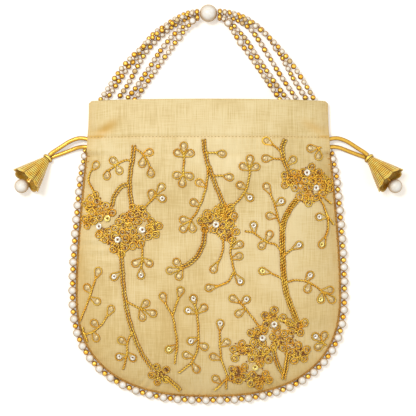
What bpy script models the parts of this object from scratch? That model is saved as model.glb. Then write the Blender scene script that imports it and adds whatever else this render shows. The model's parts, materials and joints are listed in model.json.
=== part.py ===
"""Potli bag: a lined silk pouch with zari vines, a beaded edge, a bead handle and two drawstrings.

The bag lies on its back panel, in metres. X runs across it, Y towards the handle and Z up. Places on
the panels are given as a distance across from the middle and a depth below the mouth.
"""
import math

import bmesh
import bpy
from mathutils import Matrix, Vector, geometry

# Driving sizes of the pouch
MOUTH_HALF_WIDTH = 0.084
BELLY_HALF_WIDTH = 0.0923
BELLY_DEPTH = 0.135
BAG_DEPTH = 0.207
BOTTOM_ROUNDNESS = 2.5
BAG_HEIGHT = 0.017
SIDE_LIFT = 0.002
CLOTH = 0.0009
LINING_CLOTH = 0.0006
CLEARANCE = 0.0003
LINING_CLEARANCE = 0.0005

# Casing and drawstrings
HEADING_DEPTH = 0.025
CASING_DEPTH = 0.011
CORD_DIAMETER = 0.003
UPPER_LEG_DEPTH = 0.0273
LOWER_LEG_DEPTH = 0.0328
CORD_TURN_SHARE = 0.865
CASING_LINING_SHARE = 0.78
BODY_LINING_SHARE = 0.955
FREE_CORD_INSET = 0.003
SLOT_FADE = 0.005
CASING_FADE = 0.006

# Bead edging
EDGE_PEARL = 0.006
EDGE_GOLD = 0.004
EDGE_THREAD = 0.0009
EDGE_START_DEPTH = 0.037

# Handle
HANDLE_PEARL = 0.0123
HANDLE_RISE = 0.0613
HANDLE_BORE = 0.0024
THREAD_CORE = 0.0016
STRAND_PEARL = 0.0038
STRAND_GOLD = 0.0027
STRAND_PITCH = 0.0035
STRAND_SLIM_LENGTH = 0.030
STRAND_SLIM_SHARE = 0.78

# Bells at the ends of the drawstrings
BELL_LENGTH = 0.0209
BELL_MOUTH = 0.0220
BELL_NECK = 0.0056
BELL_WALL = 0.0008
BELL_BORE = 0.0018
BELL_PETALS = 8
PETAL_SWELL = 0.0006
PETAL_TONGUE = 0.0012
BELL_TILT = math.radians(20.5)
COLLAR_DIAMETER = 0.0063
COLLAR_LENGTH = 0.0022
BELL_PEARL = 0.010
BELL_PEARL_REACH = 0.0046
PIN_DIAMETER = 0.0011

# Embroidery
ZARI_THICKNESS = 0.0012
ZARI_CLEARANCE = 0.00035
STEM_WIDTH = 0.0018
DOUBLE_STEM_WIDTH = 0.0032
TRUNK_WIDTH = 0.0038
LEAF_RADIUS = 0.0026
RING_RADIUS = 0.0027
BLOSSOM_RADIUS = 0.0046
BLOSSOM_SIDES = 7
RING_SIDES = 6

MM = 0.001
EDGE_BEAD_HEIGHT = EDGE_PEARL / 2 + 2 * MM / 10
EDGE_OFFSET = EDGE_PEARL / 2 + CLEARANCE
SLOT_ROOM = CORD_DIAMETER / 2 + CLEARANCE
TOP_OF_HANDLE = HANDLE_RISE + HANDLE_PEARL / 2
BOTTOM_OF_EDGE = BAG_DEPTH + EDGE_OFFSET + EDGE_PEARL / 2
MOUTH_Y = (BOTTOM_OF_EDGE - TOP_OF_HANDLE) / 2

# The embroidery is drawn on a sheet of this size, in millimetres, and follows the panel's own size.
# Points of its outlines that lie closer than JOIN_REACH are joined.
SHEET_HALF_WIDTH = 92.3
SHEET_DEPTH = 207.0
JOIN_REACH = 0.05
TRIANGLES = 0

# The handle's routes are drawn for this mouth and this rise, in millimetres.
ROUTE_HALF_WIDTH = 84.0
ROUTE_RISE = 61.3


def clear_scene():
    """Empty the scene of the objects that a new file starts with."""
    for old in list(bpy.data.objects):
        bpy.data.objects.remove(old, do_unlink=True)


def material(name, colour, roughness, metallic=0.0):
    """One plain finish."""
    made = bpy.data.materials.new(name)
    made.use_nodes = True
    shader = made.node_tree.nodes["Principled BSDF"]
    shader.inputs["Base Color"].default_value = (*colour, 1.0)
    shader.inputs["Roughness"].default_value = roughness
    shader.inputs["Metallic"].default_value = metallic
    return made


def add_mesh(name, bm, finish, smooth=True):
    """Turn a bmesh into a named object with its faces pointing out."""
    bm.normal_update()
    bmesh.ops.recalc_face_normals(bm, faces=bm.faces)
    mesh = bpy.data.meshes.new(name)
    bm.to_mesh(mesh)
    bm.free()
    mesh.materials.append(finish)
    if smooth:
        mesh.shade_smooth()
        mesh.set_sharp_from_angle(angle=math.radians(40))
    made = bpy.data.objects.new(name, mesh)
    bpy.context.collection.objects.link(made)
    return made


def smoothstep(low, high, value):
    """0 below low, 1 above high and a smooth rise between."""
    share = min(max((value - low) / (high - low), 0.0), 1.0)
    return share * share * (3 - 2 * share)


def window(low, high, fade, value):
    """1 from low to high, fading to 0 over a length on each side."""
    return smoothstep(low - fade, low, value) * (1 - smoothstep(high, high + fade, value))


# Shape of the pouch


def half_width(depth):
    """Half the width of the pouch at a depth below the mouth."""
    if depth <= BELLY_DEPTH:
        flare = smoothstep(0, BELLY_DEPTH, depth)
        return MOUTH_HALF_WIDTH + (BELLY_HALF_WIDTH - MOUTH_HALF_WIDTH) * flare
    share = min((depth - BELLY_DEPTH) / (BAG_DEPTH - BELLY_DEPTH), 1.0)
    return BELLY_HALF_WIDTH * (1 - share ** BOTTOM_ROUNDNESS) ** (1 / BOTTOM_ROUNDNESS)


def edge_share(across, depth):
    """0 at the middle of the pouch and 1 on its outline."""
    if depth <= BELLY_DEPTH:
        return abs(across) / half_width(depth)
    side = (abs(across) / BELLY_HALF_WIDTH) ** BOTTOM_ROUNDNESS
    down = ((depth - BELLY_DEPTH) / (BAG_DEPTH - BELLY_DEPTH)) ** BOTTOM_ROUNDNESS
    return (side + down) ** (1 / BOTTOM_ROUNDNESS)


def slot_window(depth):
    """1 along the side slots where the drawstrings come out."""
    return window(UPPER_LEG_DEPTH - SLOT_ROOM, LOWER_LEG_DEPTH + SLOT_ROOM, SLOT_FADE, depth)


def casing_window(depth):
    """1 along the casing, where the drawstrings run between the cloth and the lining."""
    return window(HEADING_DEPTH - 0.0005, HEADING_DEPTH + CASING_DEPTH, CASING_FADE, depth)


def back_under(across, depth):
    """Height of the outside of the back panel."""
    return SIDE_LIFT * min(edge_share(across, depth), 1.0) ** 8


def back_top(across, depth):
    """Height of the inside of the back panel."""
    return back_under(across, depth) + CLOTH


def front_under(across, depth):
    """Height of the inside of the front panel."""
    share = min(edge_share(across, depth), 1.0)
    seam = SIDE_LIFT + CLOTH + CLEARANCE
    dome = (BAG_HEIGHT - CLOTH - seam) * (1 - share ** 4)
    slot = (CORD_DIAMETER + CLEARANCE) * slot_window(depth) * share ** 8
    return seam + dome + slot


def front_top(across, depth):
    """Height of the outside of the front panel."""
    return front_under(across, depth) + CLOTH


def lining_gap(depth):
    """Room between the cloth and the lining, wider where the drawstrings run."""
    return LINING_CLEARANCE + (CORD_DIAMETER + 2 * CLEARANCE) * casing_window(depth)


def lining_share(depth):
    """Share of the pouch's width that the lining takes."""
    return BODY_LINING_SHARE - (BODY_LINING_SHARE - CASING_LINING_SHARE) * casing_window(depth)


def place(across, depth, height):
    """World point of a place on the pouch."""
    return Vector((across, MOUTH_Y - depth, height))


def pouch_rows(body_rows, bottom_rows, casing_end, fade, share=1.0, inset=0.0):
    """Depth and half width of each row of a panel, from the mouth to the bottom."""
    rows = [0.0, 0.36 * HEADING_DEPTH, 0.72 * HEADING_DEPTH, HEADING_DEPTH - 0.0006]
    rows += [HEADING_DEPTH + CASING_DEPTH / 2, casing_end, casing_end + fade]
    first = rows[-1]
    rows += [first + (BELLY_DEPTH - first) * step / body_rows for step in range(1, body_rows + 1)]
    placed = [(depth, half_width(depth)) for depth in rows]
    deepest = math.radians(80)
    for step in range(1, bottom_rows + 1):
        angle = deepest * step / bottom_rows
        down = (BAG_DEPTH - BELLY_DEPTH) * share - inset
        wide = BELLY_HALF_WIDTH * math.cos(angle) ** (2 / BOTTOM_ROUNDNESS)
        placed.append((BELLY_DEPTH + down * math.sin(angle) ** (2 / BOTTOM_ROUNDNESS), wide))
    return placed


def pouch_sheet(rows, columns, top, under):
    """A closed sheet over rows of the pouch, between two heights."""
    bm = bmesh.new()
    bmesh.ops.create_grid(bm, x_segments=columns, y_segments=len(rows) - 1, size=1.0)
    places = {}
    for vert in bm.verts:
        row = round((vert.co.y + 1) / 2 * (len(rows) - 1))
        depth, wide = rows[row]
        across = wide * math.copysign(1 - (1 - abs(vert.co.x)) ** 1.15, vert.co.x)
        places[vert] = (across, depth)
    upper = dict(places)
    made = bmesh.ops.extrude_face_region(bm, geom=list(bm.faces), use_keep_orig=True)
    lower = {v.co.copy().freeze(): p for v, p in upper.items()}
    for vert in [v for v in made["geom"] if isinstance(v, bmesh.types.BMVert)]:
        across, depth = lower[vert.co.copy().freeze()]
        vert.co = place(across, depth, under(across, depth))
    for vert, (across, depth) in upper.items():
        vert.co = place(across, depth, top(across, depth))
    return bm


def add_panels(silk):
    """The two silk panels of the pouch, with the casing's slots at the sides."""
    rows = pouch_rows(9, 7, LOWER_LEG_DEPTH + SLOT_ROOM, SLOT_FADE)
    add_mesh("outer_front", pouch_sheet(rows, 16, front_top, front_under), silk)
    add_mesh("outer_back", pouch_sheet(rows, 12, back_top, back_under), silk)


def add_lining(satin):
    """The lining pouch: an outer form, hollowed by its cavity through the mouth."""
    def rows_of(wall, start):
        placed = pouch_rows(
            4, 4, HEADING_DEPTH + CASING_DEPTH, CASING_FADE, share=BODY_LINING_SHARE, inset=wall)
        narrowed = [(depth, wide * lining_share(depth) - wall) for depth, wide in placed]
        return [(start, narrowed[0][1])] + narrowed[1:]

    def top(across, depth, wall=0.0):
        return front_under(across, max(depth, 0)) - lining_gap(depth) - wall

    def under(across, depth, wall=0.0):
        return back_top(across, max(depth, 0)) + lining_gap(depth) + wall

    pouch = add_mesh("lining", pouch_sheet(rows_of(0.0, 0.0), 10, top, under), satin)
    wall = LINING_CLOTH
    cavity = add_mesh(
        "lining_cavity",
        pouch_sheet(
            rows_of(wall, -0.005), 10,
            lambda across, depth: top(across, depth, wall),
            lambda across, depth: under(across, depth, wall),
        ),
        satin,
    )
    cavity.hide_render = True
    cavity.display_type = "WIRE"
    cut = pouch.modifiers.new("cavity", "BOOLEAN")
    cut.operation = "DIFFERENCE"
    cut.solver = "EXACT"
    cut.object = cavity


# Cords and bead strings


def smooth_route(points, spacing):
    """Points every so often along a smooth curve through the route's own points."""
    ends = [2 * points[0] - points[1]] + list(points) + [2 * points[-1] - points[-2]]
    fine = []
    for a, b, c, d in zip(ends, ends[1:], ends[2:], ends[3:]):
        for step in range(12):
            t = step / 12
            fine.append(
                0.5 * (2 * b + (c - a) * t + (2 * a - 5 * b + 4 * c - d) * t ** 2
                       + (3 * b - a - 3 * c + d) * t ** 3)
            )
    fine.append(points[-1])
    reached = [0.0]
    for first, second in zip(fine, fine[1:]):
        reached.append(reached[-1] + (second - first).length)
    count = max(2, round(reached[-1] / spacing))
    return [point_at(fine, reached, reached[-1] * step / count) for step in range(count + 1)]


def point_at(fine, reached, distance):
    """The point that lies a distance along a line of points."""
    for index in range(1, len(fine)):
        if reached[index] >= distance or index == len(fine) - 1:
            span = max(reached[index] - reached[index - 1], 1e-9)
            share = min((distance - reached[index - 1]) / span, 1.0)
            return fine[index - 1].lerp(fine[index], share)
    return fine[-1]


def add_tube(name, points, radii, finish, sides_level):
    """A closed tube along points, with its own radius at each."""
    curve = bpy.data.curves.new(name, "CURVE")
    curve.dimensions = "3D"
    curve.bevel_depth = max(radii)
    curve.bevel_resolution = sides_level
    curve.use_fill_caps = True
    spline = curve.splines.new("POLY")
    spline.points.add(len(points) - 1)
    for target, point, radius in zip(spline.points, points, radii):
        target.co = (*point, 1.0)
        target.radius = radius / max(radii)
    curve.materials.append(finish)
    made = bpy.data.objects.new(name, curve)
    bpy.context.collection.objects.link(made)
    return made


def add_drawstring(side, satin_cord):
    """The part of a drawstring that runs round inside the casing, in front and behind."""
    radius = CORD_DIAMETER / 2
    room = radius + 1.5 * CLEARANCE
    front_depth, back_depth = (UPPER_LEG_DEPTH, LOWER_LEG_DEPTH)
    if side > 0:
        front_depth, back_depth = back_depth, front_depth
    turn = CORD_TURN_SHARE * half_width(UPPER_LEG_DEPTH)
    exit_across = half_width(UPPER_LEG_DEPTH) - FREE_CORD_INSET - CLEARANCE
    exit_height = slot_height() - CLEARANCE / 2
    straight = turn - 0.0035
    steps = 15
    route = [(-exit_across, front_depth, exit_height)]
    route += [(-exit_across + 0.0025, front_depth, exit_height)]
    for step in range(steps + 1):
        across = -straight + 2 * straight * step / steps
        route.append((across, front_depth, front_under(across, front_depth) - room))
    top_height = front_under(turn, front_depth) - room
    low_height = back_top(turn, back_depth) + room
    for share in (0.2, 0.5, 0.8):
        bulge = math.sin(math.pi * share)
        route.append(
            (straight + (turn - straight) * bulge,
             front_depth + (back_depth - front_depth) * share,
             top_height + (low_height - top_height) * share)
        )
    for step in range(steps + 1):
        across = straight - 2 * straight * step / steps
        route.append((across, back_depth, back_top(across, back_depth) + room))
    route += [(-exit_across + 0.0025, back_depth, exit_height)]
    route += [(-exit_across, back_depth, exit_height)]
    points = [place(-side * across, depth, height) for across, depth, height in route]
    name = "drawstring_left" if side < 0 else "drawstring_right"
    add_tube(name, points, [radius] * len(points), satin_cord, 1)


def slot_height():
    """Height of the middle of the side slots."""
    edge = half_width(UPPER_LEG_DEPTH) - FREE_CORD_INSET
    return (back_top(edge, UPPER_LEG_DEPTH) + front_under(edge, UPPER_LEG_DEPTH)) / 2


# Routes of the free legs on the left, in millimetres: across from the middle, depth below the mouth
# and height. The right ones are their mirror image.
UPPER_LEG_ROUTE = [
    (-82.0, 27.3, 4.75), (-84.0, 27.1, 4.7), (-88.0, 26.3, 4.5), (-92.0, 26.5, 4.5),
    (-97.7, 28.7, 4.6), (-104.4, 33.0, 4.7), (-109.6, 36.3, 4.1), (-111.9, 38.3, 4.3),
]
LOWER_LEG_ROUTE = [
    (-82.0, 32.8, 4.9), (-84.0, 32.6, 4.9), (-88.0, 32.3, 4.2), (-92.3, 32.9, 2.6),
    (-99.0, 35.4, 1.7), (-105.7, 37.9, 1.65), (-108.6, 38.9, 1.65), (-110.8, 39.9, 1.65),
]


def add_free_leg(name, route, side, satin_cord):
    """One leg of a drawstring, from its slot to the collar of its bell."""
    drawn = [place(-side * x * MM, depth * MM, z * MM) for x, depth, z in route]
    points = smooth_route(drawn, 2 * CORD_DIAMETER)
    add_tube(name, points, [CORD_DIAMETER / 2] * len(points), satin_cord, 2)


# Bells

NECK_PLACE = (-113.9, 41.4)
BELL_HEADING = (-0.676, -0.737)


def bell_frame(side):
    """Matrix whose X axis runs from the neck of a bell out through its mouth."""
    flat = Vector((-side * BELL_HEADING[0], BELL_HEADING[1], 0)).normalized()
    axis = flat * math.cos(BELL_TILT) + Vector((0, 0, math.sin(BELL_TILT)))
    across = Vector((-flat.y, flat.x, 0))
    up = axis.cross(across)
    rotation = Matrix((axis, across, up)).transposed().to_4x4()
    half_angle = math.atan((BELL_MOUTH - BELL_NECK) / 2 / BELL_LENGTH)
    height = (BELL_NECK / 2) / math.cos(half_angle) + PETAL_SWELL / 2 + 1.2 * CLEARANCE
    centre = place(-side * NECK_PLACE[0] * MM, NECK_PLACE[1] * MM, height)
    return Matrix.Translation(centre) @ rotation


def spun(profile, segments, shape=None):
    """A closed ring turned round the X axis from a closed outline of (along, radius)."""
    bm = bmesh.new()
    verts = [bm.verts.new((along, radius, 0)) for along, radius in profile]
    edges = [bm.edges.new((verts[i - 1], verts[i])) for i in range(len(verts))]
    bmesh.ops.spin(
        bm, geom=verts + edges, axis=(1, 0, 0), cent=(0, 0, 0), angle=2 * math.pi,
        steps=segments, use_merge=True,
    )
    bmesh.ops.remove_doubles(bm, verts=bm.verts, dist=1e-6)
    if shape:
        for vert in bm.verts:
            vert.co = shape(vert.co)
    return bm


def petal(point):
    """Swell and lengthen the bell's wall into petals towards its mouth."""
    share = min(max(point.x / BELL_LENGTH, 0.0), 1.0)
    angle = math.atan2(point.z, point.y)
    wave = abs(math.cos(BELL_PETALS / 2 * angle))
    radius = math.hypot(point.y, point.z)
    scale = (radius + PETAL_SWELL * (wave - 0.5) * share) / radius
    tongue = PETAL_TONGUE * (wave - 0.5) * share ** 3
    return Vector((point.x + tongue, point.y * scale, point.z * scale))


def add_bell(side, gold, pearl, dark_gold):
    """One bell with its collar, its pearl and the pin that holds the pearl."""
    word = "left" if side < 0 else "right"
    frame = bell_frame(side)
    neck = BELL_NECK / 2
    mouth = BELL_MOUTH / 2
    slope = (mouth - neck) / BELL_LENGTH
    bore = BELL_BORE / 2
    inner_neck = neck + slope * BELL_WALL - BELL_WALL
    profile = [(0, bore), (0, neck)]
    profile += [(BELL_LENGTH * step / 4, neck + (mouth - neck) * step / 4) for step in range(1, 5)]
    inner_mouth = mouth - BELL_WALL
    inner_length = BELL_LENGTH - BELL_WALL
    for step in range(4, 0, -1):
        along = BELL_WALL + inner_length * step / 4
        profile.append((along, inner_neck + (inner_mouth - inner_neck) * step / 4))
    profile += [(BELL_WALL, inner_neck), (BELL_WALL, bore)]
    bm = spun(profile, 4 * BELL_PETALS, petal)
    bm.transform(frame)
    add_mesh(f"tassel_bell_{word}", bm, gold)

    rim = COLLAR_DIAMETER / 2
    bm = bmesh.new()
    bmesh.ops.create_cone(
        bm, cap_ends=True, segments=16, radius1=rim, radius2=rim, depth=COLLAR_LENGTH)
    bmesh.ops.bevel(
        bm, geom=[e for e in bm.edges if abs(e.verts[0].co.z - e.verts[1].co.z) < 1e-6],
        offset=0.0006, segments=2, profile=0.5, affect="EDGES", material=-1)
    bm.transform(Matrix.Rotation(math.radians(90), 4, "Y"))
    bm.transform(Matrix.Translation((-COLLAR_LENGTH / 2 - CLEARANCE, 0, 0)))
    bm.transform(frame)
    add_mesh(f"tassel_collar_{word}", bm, dark_gold)

    low_rim = frame @ Vector((BELL_LENGTH, 0, -mouth + BELL_WALL))
    ahead = Vector((frame[0][0], frame[1][0], 0)).normalized()
    centre = low_rim + ahead * (BELL_PEARL_REACH - mouth * math.sin(BELL_TILT) + PETAL_TONGUE)
    lift = BELL_PEARL / 2 + 4 * CLEARANCE
    centre.z = low_rim.z + math.sqrt(max(lift ** 2 - (centre - low_rim).to_2d().length ** 2, 0))
    bm = bmesh.new()
    bmesh.ops.create_uvsphere(bm, u_segments=16, v_segments=10, radius=BELL_PEARL / 2)
    bm.transform(Matrix.Translation(centre))
    add_mesh(f"tassel_pearl_{word}", bm, pearl)

    start = frame @ Vector((0.0, 0, 0))
    reach = centre - start
    end = centre - reach.normalized() * (BELL_PEARL / 2 + CLEARANCE)
    add_tube(f"tassel_pin_{word}", [start, end], [PIN_DIAMETER / 2] * 2, dark_gold, 1)


# Bead edging


def edge_line(samples=60):
    """Points along the middle of the edging, from the left side round the bottom to the right."""
    def outline(depth_share):
        if depth_share <= 0.5:
            depth = EDGE_START_DEPTH + (BELLY_DEPTH - EDGE_START_DEPTH) * depth_share / 0.5
            return Vector((-half_width(depth), depth))
        angle = math.pi / 2 * (depth_share - 0.5) / 0.5
        wide = BELLY_HALF_WIDTH * max(math.cos(angle), 0.0) ** (2 / BOTTOM_ROUNDNESS)
        down = (BAG_DEPTH - BELLY_DEPTH) * math.sin(angle) ** (2 / BOTTOM_ROUNDNESS)
        return Vector((-wide, BELLY_DEPTH + down))

    left = []
    for step in range(samples + 1):
        here = outline(step / samples)
        before = outline(max(step - 0.5, 0) / samples)
        after = outline(min(step + 0.5, samples) / samples)
        along = (after - before).normalized()
        if step == samples:
            along = Vector((1, 0))
        left.append(here + Vector((-along.y, along.x)) * EDGE_OFFSET)
    right = [Vector((-point.x, point.y)) for point in reversed(left[:-1])]
    return [place(point.x, point.y, EDGE_BEAD_HEIGHT) for point in left + right]


def bead_radii(sizes, thread):
    """Places along a string, as bead counts, and the radius there: full at a bead, thin between."""
    places = []
    reach = 0.0
    for size in sizes:
        places.append((reach + 0.04 * size, thread / 2))
        places.append((reach + size / 2, size / 2))
        reach += size
    places.append((reach, thread / 2))
    return places, reach


def add_edging(finish):
    """The bead edging, as one string of pearls with a gold bead between each two."""
    line = edge_line()
    reached = [0.0]
    for first, second in zip(line, line[1:]):
        reached.append(reached[-1] + (second - first).length)
    count = int(reached[-1] / (EDGE_PEARL + EDGE_GOLD))
    sizes = [EDGE_GOLD]
    for _ in range(count):
        sizes += [EDGE_PEARL, EDGE_GOLD]
    places, length = bead_radii(sizes, EDGE_THREAD)
    start = (reached[-1] - length) / 2
    points = [point_at(line, reached, start + reach) for reach, _ in places]
    add_tube("edge_beading", points, [radius for _, radius in places], finish, 1)


# Handle

# Routes of the bead strands, in millimetres: across from the middle, rise above the mouth and height.
# Each runs from the handle pearl to the mouth, the outermost strand of its side first.
LEFT_STRANDS = [
    [(-6.5, 62.3, 8.4), (-14.6, 60.4, 7.0), (-22.3, 56.4, 5.8), (-30.4, 50.8, 5.6), (-37.1, 46.3, 5.6),
     (-45.1, 38.5, 5.8), (-54.0, 30.5, 5.6), (-62.0, 21.4, 5.0), (-68.7, 11.4, 4.5), (-75.6, 1.0, 4.4)],
    [(-6.5, 63.3, 5.3), (-14.9, 61.8, 3.4), (-23.2, 58.0, 2.2), (-31.4, 52.4, 2.1), (-38.4, 47.4, 2.1),
     (-45.4, 39.1, 2.0), (-51.4, 29.6, 2.0), (-56.4, 24.3, 2.1), (-60.3, 18.2, 2.1), (-64.9, 11.4, 2.1),
     (-71.6, 1.0, 2.3)],
    [(-6.4, 60.6, 3.3), (-14.2, 58.2, 2.0), (-21.0, 54.8, 2.0), (-28.0, 50.4, 2.0), (-33.3, 45.9, 2.0),
     (-39.8, 39.5, 2.0), (-45.2, 32.6, 2.1), (-49.6, 24.9, 2.1), (-53.6, 17.6, 2.1), (-58.0, 9.6, 2.1),
     (-64.2, 1.0, 2.3)],
    [(-6.4, 58.0, 5.3), (-13.2, 55.4, 2.7), (-19.4, 50.9, 2.2), (-25.6, 45.6, 2.1), (-32.3, 37.4, 2.1),
     (-37.1, 30.5, 2.1), (-41.4, 23.7, 2.1), (-46.2, 16.6, 2.1), (-51.6, 8.6, 2.1), (-57.9, 1.0, 2.3)],
    [(-6.4, 59.0, 8.5), (-11.1, 55.9, 7.0), (-14.8, 51.4, 4.4), (-21.6, 43.6, 2.3), (-27.4, 35.3, 2.1),
     (-33.3, 27.6, 2.1), (-38.6, 19.6, 2.1), (-44.0, 12.1, 2.1), (-51.9, 1.0, 2.3)],
]
RIGHT_STRANDS = [
    [(6.5, 62.3, 8.4), (16.1, 61.0, 7.0), (24.4, 57.6, 5.8), (32.7, 52.5, 5.6), (41.5, 45.4, 5.6),
     (48.2, 38.6, 5.7), (56.6, 28.4, 5.6), (63.5, 18.7, 5.1), (69.9, 8.5, 4.6), (74.2, 1.0, 4.5)],
    [(6.5, 63.3, 5.3), (16.6, 62.2, 3.4), (25.4, 59.0, 2.2), (33.4, 53.6, 2.1), (41.0, 46.6, 2.0),
     (47.2, 38.0, 2.0), (51.4, 31.6, 2.0), (55.6, 23.7, 2.1), (60.4, 14.6, 2.1), (69.0, 1.0, 2.3)],
    [(6.4, 60.6, 3.3), (15.6, 58.6, 2.0), (23.2, 55.2, 2.0), (29.6, 50.6, 2.0), (35.0, 43.4, 2.0),
     (40.0, 35.4, 2.1), (45.2, 27.0, 2.1), (51.6, 16.6, 2.1), (62.2, 1.0, 2.3)],
    [(6.4, 58.0, 5.3), (14.4, 55.8, 2.7), (20.6, 50.2, 2.2), (26.6, 43.0, 2.1), (33.0, 32.9, 2.1),
     (40.6, 21.9, 2.1), (46.6, 12.9, 2.1), (55.6, 1.0, 2.3)],
    [(6.4, 59.0, 8.5), (12.0, 56.2, 7.0), (16.2, 50.6, 4.4), (20.6, 43.9, 2.3), (25.9, 36.4, 2.1),
     (31.8, 28.1, 2.1), (38.1, 18.8, 2.1), (43.9, 10.2, 2.1), (50.5, 1.0, 2.3)],
]


def strand_route(drawn):
    """World points of one strand's route."""
    wide = MOUTH_HALF_WIDTH / ROUTE_HALF_WIDTH
    rise = HANDLE_RISE / ROUTE_RISE
    return [place(x * wide, -up * rise, z * MM) for x, up, z in drawn]


def add_strand(name, drawn, finish):
    """One bead strand: pearls and smaller gold beads in turn, slimmer near the handle pearl."""
    route = smooth_route(strand_route(drawn), STRAND_PITCH)
    radii = []
    for index in range(len(route)):
        bead = STRAND_PEARL if index % 2 else STRAND_GOLD
        full = smoothstep(0, STRAND_SLIM_LENGTH, index * STRAND_PITCH)
        radii.append(bead / 2 * (STRAND_SLIM_SHARE + (1 - STRAND_SLIM_SHARE) * full))
    radii[0] = radii[-1] = STRAND_GOLD / 2.6
    add_tube(name, route, radii, finish, 1)


def add_handle(pearl, pearl_string, thread):
    """The handle: ten strands, the big pearl and the thread through it."""
    for index, drawn in enumerate(LEFT_STRANDS, start=1):
        add_strand(f"handle_strand_left_{index}", drawn, pearl_string)
    for index, drawn in enumerate(RIGHT_STRANDS, start=1):
        add_strand(f"handle_strand_right_{index}", drawn, pearl_string)
    radius = HANDLE_PEARL / 2
    centre = place(0, -HANDLE_RISE, radius + CLEARANCE / 2)
    bore = HANDLE_BORE / 2
    start = math.asin(bore / radius)
    steps = 9
    profile = []
    for step in range(steps + 1):
        angle = start + (math.pi - 2 * start) * step / steps
        profile.append((-radius * math.cos(angle), radius * math.sin(angle)))
    bm = spun(profile, 18)
    bm.transform(Matrix.Translation(centre))
    add_mesh("handle_pearl", bm, pearl)
    half = Vector((radius, 0, 0))
    add_tube("handle_thread", [centre - half, centre + half], [THREAD_CORE / 2] * 2, thread, 1)


# Embroidery, drawn in millimetres across from the middle and down from the mouth.
# A stem is its width and its points, a leaf its centre and the point of its base, a blossom or a ring
# its centre.

LEFT_VINE = {
    "stems": [
        (DOUBLE_STEM_WIDTH, [(-51.8, 31.5), (-52.5, 40), (-54, 49), (-54.8, 58), (-54.3, 66), (-53, 75)]),
        (STEM_WIDTH, [(-51.5, 33.5), (-47, 36.5), (-42.6, 42), (-40.4, 47.4)]),
        (STEM_WIDTH, [(-53, 42.8), (-58, 42), (-64, 45), (-70.4, 49.6)]),
        (DOUBLE_STEM_WIDTH, [(-55, 58.5), (-60, 60), (-65, 66), (-67.4, 74)]),
        (STEM_WIDTH, [(-80.6, 47.6), (-83.4, 52), (-83.8, 56), (-81.5, 61), (-78, 67)]),
        (STEM_WIDTH, [(-46, 76), (-40, 70.5), (-36, 65.6)]),
        (DOUBLE_STEM_WIDTH, [(-61.6, 101), (-60.2, 114), (-59, 130), (-57, 144), (-54.5, 155),
                             (-51, 166), (-46, 177), (-38.6, 187.5)]),
        (STEM_WIDTH, [(-48.4, 97), (-45.9, 105), (-46.6, 117.4)]),
        (STEM_WIDTH, [(-57.5, 139.5), (-51, 143.4), (-43.6, 146.4)]),
        (STEM_WIDTH, [(-52.5, 161), (-56, 167.6), (-57, 178), (-59.6, 188)]),
        (DOUBLE_STEM_WIDTH, [(-30, 193), (-23.6, 198.5), (-19.6, 203)]),
    ],
    "leaves": [
        (-41, 36.6, -45.6, 38), (-46, 44.2, -45.2, 39.4), (-40, 51.2, -40.4, 46.6),
        (-66.4, 42.2, -63, 44.6), (-62, 49.2, -64.4, 45.4), (-70.8, 52.8, -70, 48.6),
        (-78.6, 45, -81, 48.6), (-39.6, 65.2, -40.2, 70), (-32.6, 60.6, -36.4, 65.8),
        (-32, 68.6, -37, 67.4), (-65.6, 123, -60.6, 119.6), (-50.6, 113.6, -46, 110),
        (-41.2, 113.6, -45.8, 110), (-46.8, 121.8, -46.6, 116.6), (-43.4, 141.4, -47, 144.6),
        (-38.6, 148.4, -44.2, 146.2), (-46, 151, -47.6, 145.4), (-60.6, 167.4, -56.2, 170.4),
        (-62.2, 179, -57, 178), (-52.8, 179.6, -56.6, 176),
    ],
    "blossoms": [
        (-83, 71), (-83.4, 81), (-77, 78), (-70, 76), (-70, 84.5), (-62, 86), (-53, 77.6), (-46, 78),
        (-54, 86), (-43, 86), (-37, 90), (-57, 94), (-50, 95), (-67, 94), (-74, 92.6), (-62.4, 100),
        (-78, 86), (-34, 191.5),
    ],
    "rings": [
        (-78.5, 66.4), (-85.6, 74.6), (-85, 87), (-66.8, 103.6), (-52, 101.4), (-43.6, 95.4),
        (-34, 86), (-34, 185.6), (-28.2, 189.4), (-38.6, 196), (-31.6, 197), (-39.8, 190),
    ],
}

LEFT_EDGE_SPRIG = {
    "stems": [(STEM_WIDTH, [(-90, 154.6), (-87, 148), (-83, 138), (-80.4, 130), (-78, 122.6)])],
    "leaves": [(-76.8, 119.4, -78.6, 124.4), (-84.8, 131, -81.6, 135), (-77.8, 140.4, -83, 137.6)],
}

LEFT_LOWER_SPRIG = {
    "stems": [
        (STEM_WIDTH, [(-87.6, 158.6), (-86.4, 163.6), (-79, 160.6), (-73.4, 155), (-69.6, 149)]),
        (STEM_WIDTH, [(-86.6, 162.6), (-84.6, 169)]),
    ],
    "leaves": [(-67.8, 145.6, -70.2, 150.4), (-79.8, 155.6, -76.6, 158.6), (-78.6, 166, -81, 161.4)],
}

LEFT_BUD = {
    "stems": [(STEM_WIDTH, [(-17, 36), (-17.2, 45), (-17.7, 53)])],
    "leaves": [
        (-17, 32.2, -17, 37.2), (-21.4, 37, -17.2, 39.6), (-12.6, 37.2, -16.8, 39.4),
        (-22, 52.4, -17.6, 51.8), (-13, 53.2, -17.2, 51), (-18.2, 58, -17.8, 52.4),
    ],
}

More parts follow.
